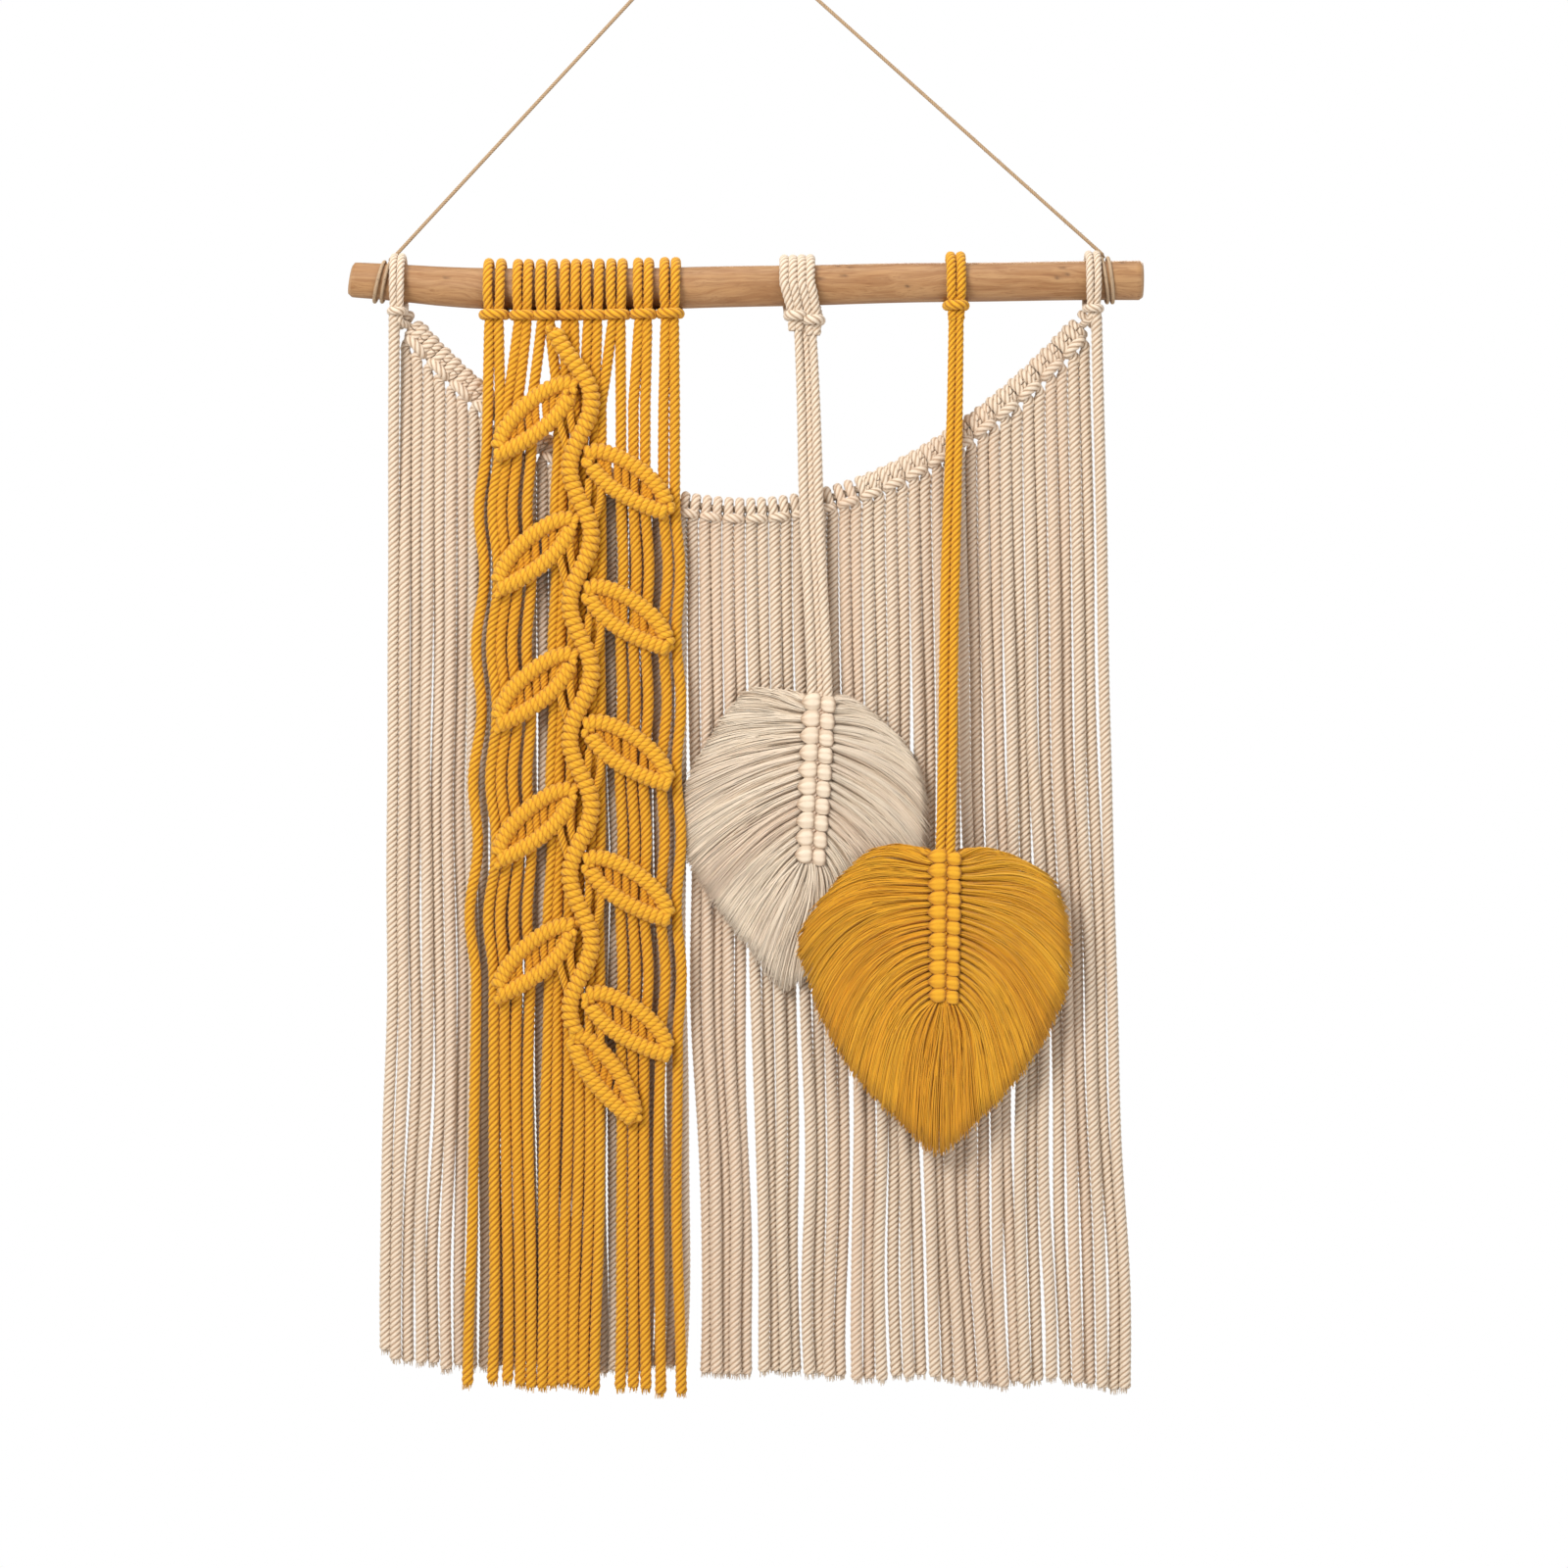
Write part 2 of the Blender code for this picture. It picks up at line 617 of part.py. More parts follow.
def make_pendant(colour, ring, leaf_x, drop, back, size, spine, rims, look):
    """A leaf pendant: the lark's head round the rod, the hanger below it, the spine and the fringe."""
    ring_x, strands, ring_width, hanger_width = ring
    bm = bmesh.new()
    make_ring(bm, ring_x, strands, ring_width, 0.8 * CORD)
    solid(f"{colour}_pendant_loop", bm, look, (ring_x, 0, -ROD_DROP))
    lean, spine_length = spine
    top = (leaf_x, back, -ROD_DROP - drop)
    start = (ring_x, PANEL_Y, -ROD_DROP - RING_RADIUS - 0.8 * CORD - SWAY_GAP)
    end = (leaf_x, back - SPINE_DEPTH / 2, top[2] + GAP)
    make_hanger(f"{colour}_pendant_hanger", start, end, min(strands, 3), hanger_width, look)
    make_spine(f"{colour}_leaf_spine", top, lean, spine_length, SPINE_DEPTH, look)
    for word, side, rim in zip(("left", "right"), (-1, 1), rims):
        make_fringe(f"{colour}_leaf_fringe_{word}", top, size, side, spine, rim, look)


def make_white_pendant(look):
    ring = (WHITE_LEAF_X + WHITE_RING_SHIFT, WHITE_RING_STRANDS, WHITE_RING_WIDTH, WHITE_HANGER_WIDTH)
    size = (WHITE_LEAF_WIDTH, WHITE_LEAF_LENGTH)
    spine = (WHITE_SPINE_LEAN, WHITE_SPINE_LENGTH)
    rims = (WHITE_LEFT_RIM, WHITE_RIGHT_RIM)
    make_pendant("white", ring, WHITE_LEAF_X, WHITE_LEAF_DROP, WHITE_LEAF_BACK, size, spine, rims, look)


def make_gold_pendant(look):
    ring = (GOLD_LEAF_X + GOLD_RING_SHIFT, GOLD_RING_STRANDS, GOLD_RING_WIDTH, GOLD_HANGER_WIDTH)
    size = (GOLD_LEAF_WIDTH, GOLD_LEAF_LENGTH)
    spine = (GOLD_SPINE_LEAN, GOLD_SPINE_LENGTH)
    rims = (GOLD_LEFT_RIM, GOLD_RIGHT_RIM)
    make_pendant("gold", ring, GOLD_LEAF_X, GOLD_LEAF_DROP, GOLD_LEAF_BACK, size, spine, rims, look)


clear_scene()
wood = material("oiled_wood", WOOD)
jute = material("jute_twine", JUTE)
white_cotton = material("white_cotton", WHITE_COTTON)
gold_cotton = material("gold_cotton", GOLD_COTTON)
make_rod(wood)
make_twine(jute)
make_wrap("twine_wrap_left", LEFT_WRAP_X, jute)
make_wrap("twine_wrap_right", RIGHT_WRAP_X, jute)
make_panel(gold_cotton)
make_vine(gold_cotton)
make_curtain(white_cotton)
make_white_pendant(white_cotton)
make_gold_pendant(gold_cotton)
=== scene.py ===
from math import atan2, copysign, cos, exp, hypot, pi, radians, sin, sqrt

import bpy
import numpy as np
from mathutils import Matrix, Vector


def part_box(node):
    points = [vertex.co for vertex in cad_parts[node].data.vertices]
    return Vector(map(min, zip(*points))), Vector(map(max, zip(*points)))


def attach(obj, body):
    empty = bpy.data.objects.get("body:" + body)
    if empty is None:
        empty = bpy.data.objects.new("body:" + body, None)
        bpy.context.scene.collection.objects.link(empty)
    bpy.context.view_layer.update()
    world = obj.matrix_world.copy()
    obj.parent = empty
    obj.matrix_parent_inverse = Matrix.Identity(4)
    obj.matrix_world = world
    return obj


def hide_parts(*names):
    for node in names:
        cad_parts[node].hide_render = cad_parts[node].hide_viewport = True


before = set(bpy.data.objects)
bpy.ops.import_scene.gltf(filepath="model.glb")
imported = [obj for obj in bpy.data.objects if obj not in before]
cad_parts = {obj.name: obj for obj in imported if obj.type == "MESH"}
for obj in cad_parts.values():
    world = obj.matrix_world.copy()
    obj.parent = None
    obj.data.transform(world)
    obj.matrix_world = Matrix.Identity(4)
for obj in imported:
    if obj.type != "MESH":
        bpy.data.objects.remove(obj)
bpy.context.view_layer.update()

mm = 0.001
print("stage 1: frame loaded")


# one socket, so that sums of sockets read as sums
class Wire:
    def __init__(self, tree, socket=None):
        self.tree = tree
        self.socket = socket

    def node(self, kind, settings=None, inputs=None, output=0):
        made = self.tree.nodes.new(kind)
        for key, value in (settings or {}).items():
            setattr(made, key, value)
        for key, value in (inputs or {}).items():
            if isinstance(value, Wire):
                self.tree.links.new(value.socket, made.inputs[key])
            else:
                made.inputs[key].default_value = value
        return Wire(self.tree, made.outputs[output] if made.outputs else None)

    def sum(self, operation, first, second):
        return self.node("ShaderNodeMath", {"operation": operation}, {0: first, 1: second})

    def colour(self, factor, first, second, blend="MIX"):
        settings = {"data_type": "RGBA", "blend_type": blend}
        return self.node("ShaderNodeMix", settings, {0: factor, 6: first, 7: second}, 2)

    def ranged(self, low, high, curve="LINEAR"):
        inputs = {"Value": self, "From Min": low, "From Max": high}
        return self.node("ShaderNodeMapRange", {"interpolation_type": curve}, inputs)

    def stretched(self, vector, scale):
        return self.node("ShaderNodeVectorMath", {"operation": "MULTIPLY"}, {0: vector, 1: scale})

    def noise(self, vector, scale, detail=2.0, roughness=0.55, output=0):
        place = self.stretched(vector, scale)
        inputs = {"Vector": place, "Scale": 1.0, "Detail": detail, "Roughness": roughness}
        return self.node("ShaderNodeTexNoise", {}, inputs, output)

    def attribute(self, name, output=2):
        return self.node("ShaderNodeAttribute", {"attribute_name": name}, {}, output)


for word, operation in (("add", "ADD"), ("sub", "SUBTRACT"), ("mul", "MULTIPLY")):
    setattr(Wire, f"__{word}__", lambda self, other, kind=operation: self.sum(kind, self, other))
    setattr(Wire, f"__r{word}__", lambda self, other, kind=operation: self.sum(kind, other, self))


def newMaterial(name):
    made = bpy.data.materials.new(name)
    made.use_nodes = True
    tree = made.node_tree
    shader = tree.nodes["Principled BSDF"]
    return made, Wire(tree), shader


def plug(wire, shader, **sockets):
    for name, value in sockets.items():
        wire.tree.links.new(value.socket, shader.inputs[name.replace("_", " ")])


# the camera is made first
cameraSettings = {"x": 0.0339, "z": -0.4388, "lens": 100.0, "sensor": 36.0, "width": 0.7853, "plane": -0.012}


def makeCamera(settings):
    data = bpy.data.cameras.new("frontCamera")
    data.lens = settings["lens"]
    data.sensor_width = settings["sensor"]
    distance = settings["width"] * settings["lens"] / settings["sensor"]
    camera = bpy.data.objects.new("frontCamera", data)
    camera.location = (settings["x"], settings["plane"] - distance, settings["z"])
    camera.rotation_euler = (radians(90), 0, 0)
    bpy.context.scene.collection.objects.link(camera)
    bpy.context.scene.camera = camera


makeCamera(cameraSettings)
print("stage 2: camera placed")


# materials: cotton and jute share one maker, and their noises are stretched along the fibre
# in each look, groove is painted shade for the grooves between plies, ridge a painted highlight for their
# crests, body the cord's own colour
whiteLook = {
    "name": "whiteCotton", "groove": (0.36, 0.24, 0.155, 1), "body": (0.73, 0.60, 0.455, 1),
    "ridge": (0.87, 0.78, 0.66, 1), "warmToneAndShade": (0.66, 0.46, 0.33, 1), "dark": (0.50, 0.38, 0.27, 1),
    "roughness": 0.86, "sheen": 0.15, "bump": 0.45,
}
goldLook = {
    "name": "goldCotton", "groove": (0.34, 0.12, 0.005, 1), "body": (0.70, 0.335, 0.014, 1),
    "ridge": (0.82, 0.46, 0.032, 1), "warmToneAndShade": (0.64, 0.25, 0.008, 1), "dark": (0.48, 0.19, 0.006, 1),
    "roughness": 0.84, "sheen": 0.12, "bump": 0.45,
}
twineLook = {
    "name": "juteTwine", "groove": (0.30, 0.20, 0.12, 1), "body": (0.55, 0.39, 0.245, 1),
    "ridge": (0.68, 0.52, 0.36, 1), "warmToneAndShade": (0.40, 0.26, 0.14, 1), "dark": (0.26, 0.18, 0.11, 1),
    "roughness": 0.88, "sheen": 0.05, "bump": 0.6,
}
cottonGrain = {"streak": (7.0, 7.0, 0.55), "fuzz": (16.0, 16.0, 3.0), "patch": (0.3, 0.3, 0.05),
               "relief": 0.5 * mm, "sheenRoughness": 0.6, "shine": 0.2}


def cottonMaterial(look):
    made, w, shader = newMaterial(look["name"])
    fibre = w.attribute("fibre", 1)
    ridge = w.attribute("ridge")
    tone = w.attribute("tone")
    streak = w.noise(fibre, cottonGrain["streak"], 3.0, 0.7)
    fuzz = w.noise(fibre, cottonGrain["fuzz"], 2.0, 0.6)
    patch = w.noise(fibre, cottonGrain["patch"])
    # painted shade: the groove colour darkens the cord where the ridge attribute is low
    base = w.colour(ridge.ranged(0.0, 0.85, "SMOOTHSTEP"), look["groove"], look["body"])
    # painted highlight: the ridge colour lightens the crests, broken up by the streaks
    high = (ridge * (0.5 + streak)).ranged(0.55, 1.25)
    base = w.colour(high * 0.8, base, look["ridge"])
    # the warm colour comes in where tone is low: random tone between cords, and painted shade on the cords
    # lying behind, which are given a low tone
    base = w.colour((1 - tone) * 0.55 * (0.6 + 0.8 * patch), base, look["warmToneAndShade"])
    base = w.colour(streak.ranged(0.42, 0.25) * 0.45, base, look["dark"])
    rough = look["roughness"] - 0.10 * ridge * streak + 0.06 * (1 - ridge)
    height = streak * 0.7 + fuzz * 0.3
    relief = {"Strength": look["bump"], "Distance": cottonGrain["relief"], "Height": height}
    plug(w, shader, Base_Color=base, Roughness=rough, Normal=w.node("ShaderNodeBump", {}, relief))
    shader.inputs["Sheen Weight"].default_value = look["sheen"]
    shader.inputs["Sheen Roughness"].default_value = cottonGrain["sheenRoughness"]
    shader.inputs["Specular IOR Level"].default_value = cottonGrain["shine"]
    return made


woodLook = {
    "name": "oiledWood", "pale": (0.435, 0.262, 0.126, 1), "mid": (0.320, 0.170, 0.074, 1),
    "grain": (0.19, 0.085, 0.034, 1), "pit": (0.12, 0.06, 0.03, 1), "end": (0.50, 0.33, 0.20, 1),
    "wavy": (1.2, 1.2, 0.35), "bend": (0.6, 0.6, 0.16), "coarse": (3.0, 3.0, 0.16), "fine": (16.0, 16.0, 0.5),
    "pores": (9.0, 9.0, 0.9), "roughness": 0.5, "bump": 0.35, "relief": 0.4 * mm, "shine": 0.35,
}


def woodMaterial(look):
    made, w, shader = newMaterial(look["name"])
    place = w.attribute("fibre", 1)
    pit = w.attribute("ridge")
    end = w.attribute("tone")
    wavy = w.noise(place, look["wavy"])
    shift = w.noise(place, look["bend"], 2.0, 0.5, 1)
    bent = w.node("ShaderNodeVectorMath", {"operation": "MULTIPLY_ADD"},
                  {0: shift, 1: (1.6, 1.6, 0.0), 2: place})
    coarse = w.noise(bent, look["coarse"], 4.0, 0.65)
    fine = w.noise(bent, look["fine"], 3.0, 0.6)
    pores = w.node("ShaderNodeTexVoronoi", {"feature": "F1"},
                   {"Vector": w.stretched(bent, look["pores"]), "Scale": 1.0, "Randomness": 1.0})
    pore = pores.ranged(0.16, 0.05)
    line = fine.ranged(0.5, 0.28)
    base = w.colour(coarse.ranged(0.36, 0.66, "SMOOTHSTEP"), look["mid"], look["pale"])
    base = w.colour(line * 0.55, base, look["grain"])
    base = w.colour(wavy * 0.5, base, look["pale"], "SOFT_LIGHT")
    base = w.colour(pore * 0.35, base, look["grain"])
    base = w.colour(end, base, look["end"])
    base = w.colour(pit, base, look["pit"])
    rough = look["roughness"] + 0.16 * line + 0.2 * pit
    height = fine * 0.6 + coarse * 0.4 - 0.5 * pore
    relief = {"Strength": look["bump"], "Distance": look["relief"], "Height": height}
    plug(w, shader, Base_Color=base, Roughness=rough, Normal=w.node("ShaderNodeBump", {}, relief))
    shader.inputs["Specular IOR Level"].default_value = look["shine"]
    return made


materials = {"white_cotton": cottonMaterial(whiteLook), "gold_cotton": cottonMaterial(goldLook),
             "jute": cottonMaterial(twineLook), "wood": woodMaterial(woodLook)}
print("stage 3: materials made")


# the rope maker: a twisted cord of four plies swept along a route
ropeForm = {"plies": 4, "angles": (-45.0, -24.0, 0.0, 24.0), "lobe": 0.56, "smoothLobe": 0.80,
            "pitch": 11.6 * mm, "rings": 12, "lip": 0.5, "tip": 0.80, "flareReach": 5 * mm,
            "smoothRidge": 0.45}


class Skein:
    def __init__(self):
        self.points, self.quads, self.caps = [], [], []
        self.fibre, self.ridge, self.tone = [], [], []
        self.count = 0

    def add(self, points, quads, caps, fibre, ridge, tone):
        self.points.append(points)
        self.quads.append(quads + self.count)
        self.caps += [cap + self.count for cap in caps]
        self.fibre.append(fibre)
        self.ridge.append(ridge)
        self.tone.append(np.broadcast_to(tone, len(points)))
        self.count += len(points)

    # a closed tube, rings by sides; turned is for rings that run the other way round
    def tube(self, points, fibre, ridge, tone, turned=False):
        rings, sides = points.shape[:2]
        quads = gridQuads(rings, sides)
        caps = [np.arange(sides)[::-1], np.arange(sides) + (rings - 1) * sides]
        if turned:
            quads, caps = quads[:, ::-1], [cap[::-1] for cap in caps]
        self.add(points.reshape(-1, 3), quads, caps, fibre.reshape(-1, 3), ridge.reshape(-1), tone)

    def build(self, name, slot, body, nodes=()):
        quads = np.concatenate(self.quads).astype(np.int32)
        caps = np.concatenate(self.caps).astype(np.int32) if self.caps else np.zeros(0, np.int32)
        sizes = np.concatenate([np.full(len(quads), 4), [len(cap) for cap in self.caps]]).astype(np.int32)
        starts = np.concatenate([[0], np.cumsum(sizes)[:-1]]).astype(np.int32)
        loops = np.concatenate([quads.ravel(), caps])
        mesh = bpy.data.meshes.new(name)
        mesh.vertices.add(self.count)
        mesh.vertices.foreach_set("co", np.concatenate(self.points).astype(np.float32).ravel())
        mesh.loops.add(len(loops))
        mesh.loops.foreach_set("vertex_index", loops)
        mesh.polygons.add(len(sizes))
        mesh.polygons.foreach_set("loop_start", starts)
        mesh.update(calc_edges=True)
        mesh.validate()
        mesh.shade_smooth()
        # ridge drives the cotton's painted shade where low and painted highlight where high, and marks the
        # wood's pits; tone carries random tone, painted shade on cords lying behind, and the wood's pale ends
        for key, kind, rows in (("fibre", "FLOAT_VECTOR", self.fibre), ("ridge", "FLOAT", self.ridge),
                                ("tone", "FLOAT", self.tone)):
            values = np.concatenate(rows).astype(np.float32)
            layer = mesh.attributes.new(key, kind, "POINT")
            layer.data.foreach_set("vector" if kind == "FLOAT_VECTOR" else "value", values.ravel())
        mesh.materials.append(materials[slot])
        piece = bpy.data.objects.new(name, mesh)
        bpy.context.scene.collection.objects.link(piece)
        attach(piece, body)
        if nodes:
            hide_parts(*nodes)
        return piece


def curveThrough(points, step):
    points = np.asarray(points, float)
    padded = np.vstack([2 * points[0] - points[1], points, 2 * points[-1] - points[-2]])
    t = np.linspace(0, 1, 14, endpoint=False)[:, None]
    runs = []
    for i in range(len(points) - 1):
        a, b, c, d = padded[i:i + 4]
        runs.append(0.5 * (2 * b + (c - a) * t + (2 * a - 5 * b + 4 * c - d) * t**2
                           + (3 * b - a - 3 * c + d) * t**3))
    dense = np.vstack(runs + [points[-1:]])
    along = np.concatenate([[0], np.cumsum(np.linalg.norm(np.diff(dense, axis=0), axis=1))])
    count = max(3, int(round(along[-1] / step)) + 1)
    places = np.linspace(0, along[-1], count)
    return stacked(*(np.interp(places, along, dense[:, k]) for k in range(3))), places


def lengthOf(path):
    return np.linalg.norm(np.diff(path, axis=0), axis=1).sum()


def stacked(*rows):
    return np.stack(np.broadcast_arrays(*rows), axis=-1)


def carriedFrames(path):
    tangent = np.gradient(path, axis=0)
    tangent /= np.linalg.norm(tangent, axis=1)[:, None]
    first = np.cross(tangent[0], (0.3, 1.0, 0.2))
    first /= sqrt(first @ first)
    nx, ny, nz = first
    normals = []
    for tx, ty, tz in tangent.tolist():
        dot = nx * tx + ny * ty + nz * tz
        nx, ny, nz = nx - dot * tx, ny - dot * ty, nz - dot * tz
        size = sqrt(nx * nx + ny * ny + nz * nz)
        nx, ny, nz = nx / size, ny / size, nz / size
        normals.append((nx, ny, nz))
    normal = np.array(normals)
    return normal, np.cross(tangent, normal)


def gridQuads(rings, sides):
    ring = np.arange(rings - 1)[:, None] * sides
    j = np.arange(sides)
    after = (j + 1) % sides
    return stacked(ring + j, ring + after, ring + sides + after, ring + sides + j).reshape(-1, 4)


def lobedSection(lobe):
    shift = 1 - lobe
    angles, radii = [], []
    for ply in range(ropeForm["plies"]):
        for degrees in ropeForm["angles"]:
            phi = radians(degrees)
            radii.append(shift * cos(phi) + sqrt(lobe**2 - (shift * sin(phi))**2))
            angles.append(phi + 2 * pi * ply / ropeForm["plies"])
    return np.array(angles), np.array(radii)


sectionAngles, twistedRadii = lobedSection(ropeForm["lobe"])
smoothRadii = lobedSection(ropeForm["smoothLobe"])[1]


# radius is one number or a function of the place along the cord
def addRope(skein, route, radius, tone, phase, pitch=None, ends=(True, True), smooth=False, flare=0.0):
    pitch = pitch or ropeForm["pitch"]
    sectionRadii = smoothRadii if smooth else twistedRadii
    path, along = curveThrough(route, pitch / ropeForm["rings"])
    normal, side = carriedFrames(path)
    size = radius(along) if callable(radius) else np.full(len(path), radius)
    for k, closing in enumerate(ends):
        if closing:
            near = along if k == 0 else along[-1] - along
            lip = size.mean() * ropeForm["lip"]
            rounded = ropeForm["tip"] + (1 - ropeForm["tip"]) * np.sqrt(np.clip(near / lip, 0, 1))
            size = size * np.where(near < lip, rounded, 1.0)
            size = size * (1 + flare * np.exp(-near / ropeForm["flareReach"]))
    turn = phase + 2 * pi * along / pitch
    angle = (sectionAngles + turn[:, None])[:, :, None]
    reach = (sectionRadii * size[:, None])[:, :, None]
    points = (path[:, None, :] + reach * np.cos(angle) * normal[:, None, :]
              + reach * np.sin(angle) * side[:, None, :])
    # ridge is 0 in the grooves between plies and 1 on their crests: the cotton paints shade into the grooves
    # and a highlight onto the crests from it
    ridge = (sectionRadii - sectionRadii.min()) / (sectionRadii.max() - sectionRadii.min())
    # smooth cords get a higher floor, so less painted groove shade
    if smooth:
        ridge = ropeForm["smoothRidge"] + (1 - ropeForm["smoothRidge"]) * ridge
    fibre = stacked(np.cos(sectionAngles) + phase * 3.1, np.sin(sectionAngles), along[:, None] * 1000)
    skein.tube(points, fibre, np.tile(ridge, len(path)), tone)
    return path


# thin hairs: every row of routes is one hair, all with the same count of points
def addHairs(skein, routes, radii, tones, ridges, sides=3):
    count, steps, _ = routes.shape
    tangent = np.gradient(routes, axis=1)
    tangent /= np.linalg.norm(tangent, axis=2)[:, :, None] + 1e-12
    first = np.cross(tangent, (0.0, 1.0, 0.0))
    first /= np.linalg.norm(first, axis=2)[:, :, None] + 1e-12
    second = np.cross(tangent, first)
    angle = 2 * pi * np.arange(sides) / sides
    cosine, sine = np.cos(angle)[:, None], np.sin(angle)[:, None]
    points = (routes[:, :, None, :] + radii[:, :, None, None]
              * (cosine * first[:, :, None, :] + sine * second[:, :, None, :]))
    quads = gridQuads(steps, sides)
    quads = (quads[None] + (np.arange(count) * steps * sides)[:, None, None]).reshape(-1, 4)
    along = np.cumsum(np.linalg.norm(np.diff(routes, axis=1, prepend=routes[:, :1]), axis=2), axis=1) * 1000
    fibre = np.zeros((count, steps, sides, 3))
    fibre[..., 0] = np.arange(count)[:, None, None] * 0.37 + np.cos(angle)
    fibre[..., 1] = np.sin(angle)
    fibre[..., 2] = along[:, :, None]
    tone = np.repeat(tones, steps * sides)
    ridge = np.repeat(np.broadcast_to(ridges, (count, steps)).reshape(-1), sides)
    ring = np.arange(sides)
    caps = [ring[::-1] + k * steps * sides for k in range(count)]
    caps += [ring + (k * steps + steps - 1) * sides for k in range(count)]
    skein.add(points.reshape(-1, 3), quads, caps, fibre.reshape(-1, 3), ridge, tone)


# ridges darken each tuft yarn towards its root, which sits inside the cord: painted shade
tuftForm = {"count": 18, "reach": 3.0 * mm, "spread": 0.85, "sunk": 0.6, "radii": (0.34, 0.30, 0.16),
            "ridges": (0.5, 0.8, 0.9)}


# the cut end of a cord: a tuft of short loose yarns
def addTuft(skein, tip, down, random, tone):
    count, sunk = tuftForm["count"], tuftForm["sunk"] * cord
    turns = random.uniform(0, 2 * pi, count)
    out = np.sqrt(random.uniform(0.05, 1, count)) * cord * tuftForm["spread"]
    down = down / np.linalg.norm(down)
    side = np.cross(down, (0, 1, 0))
    front = np.cross(down, side)
    spread = np.cos(turns)[:, None] * side + np.sin(turns)[:, None] * front
    length = random.uniform(0.35, 1.0, count)[:, None] * tuftForm["reach"]
    root = tip - down * sunk + spread * out[:, None]
    far = root + down * (length + sunk) + spread * (random.uniform(-0.1, 0.35, count)[:, None] * length)
    middle = (root + far) / 2 + spread * (random.uniform(-0.1, 0.1, count)[:, None] * length)
    radii = np.array(tuftForm["radii"]) * mm * random.uniform(0.8, 1.2, count)[:, None]
    addHairs(skein, np.stack([root, middle, far], axis=1), radii, np.full(count, tone),
             np.array(tuftForm["ridges"]))


# places, from the frame, and the radii of the cords
rodLow, rodHigh = (np.array(corner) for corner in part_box("rod"))
rodAxis = (rodLow + rodHigh) / 2
rodRadius = (rodHigh[2] - rodLow[2]) / 2
cord = 2.75 * mm
fullCord = 3.12 * mm
knotCord = 2.6 * mm


# how far the natural stick rises from the straight axis, and how thick it is, from its left end to its right
stickForm = {"shares": (-1.0, -0.7, -0.45, -0.15, 0.3, 0.6, 1.0),
             "lift": (4.6, -1.4, -1.7, -0.3, 1.4, 2.6, 3.6),
             "radius": (8.2, 10.2, 10.4, 10.3, 10.1, 9.9, 10.1), "blur": (-0.16, -0.08, 0.0, 0.08, 0.16)}


def stickAt(x, key):
    share = (np.asarray(x, float) - rodAxis[0]) / (rodHigh[0] - rodLow[0]) * 2
    near = [np.interp(share + off, stickForm["shares"], stickForm[key]) for off in stickForm["blur"]]
    return sum(near) / len(near) * mm


# a squeezed stretch of cord where it is knotted, between two places along it
def squeezed(full, tight, start, end, soft):
    def size(along):
        inside = np.clip((along - start) / soft, 0, 1) * np.clip((end - along) / soft, 0, 1)
        return full + (tight - full) * inside
    return size


# smooth sideways wander shared by neighbours, in metres
def wander(x, z, seed, size):
    calm = 0.35 + 0.65 * min(1.0, max(0.0, (-0.30 - z) / 0.42))
    a = sin(x * 61 + z * 17 + seed) + 0.6 * sin(x * 23 - z * 29 + 1.7 * seed)
    return size * calm * 0.6 * (a + 0.3 * sin(x * 140 + z * 52 + 2.9 * seed))


def legDown(start, end, seed, size, yEnd, steps, bend=1.0, own=0.0):
    rows = []
    for k in range(1, steps + 1):
        share = k / steps
        smooth = share**bend
        x = start[0] + (end[0] - start[0]) * smooth
        z = start[2] + (end[1] - start[2]) * share
        y = start[1] + (yEnd - start[1]) * min(1, 4 * share)
        grow = min(1, 2.5 * share)
        x += grow * (wander(x, z, seed, size) + own * sin(z * 31 + seed * 5 + own * 9000))
        y += grow * 0.5 * wander(x + 0.02, z, seed + 2, size)
        rows.append((x, y, z))
    return rows


# the rod; a pit is a place along it and an angle up from its front, in degrees
rodForm = {"rings": 220, "sides": 72, "chamfer": 1.5 * mm, "lump": 0.22 * mm, "slant": 1.2 * mm,
           "slantReach": 7 * mm, "pitDepth": 0.5 * mm, "pitSize": (1.3 * mm, 0.8 * mm),
           "pits": ((0.0640, 20), (0.0672, 52), (0.0608, 60), (0.0525, 12), (0.0957, -15), (0.1710, 2),
                    (0.1757, 12), (0.1735, 34), (-0.1355, 22), (-0.0850, 40), (0.2040, 55), (0.1300, 62))}


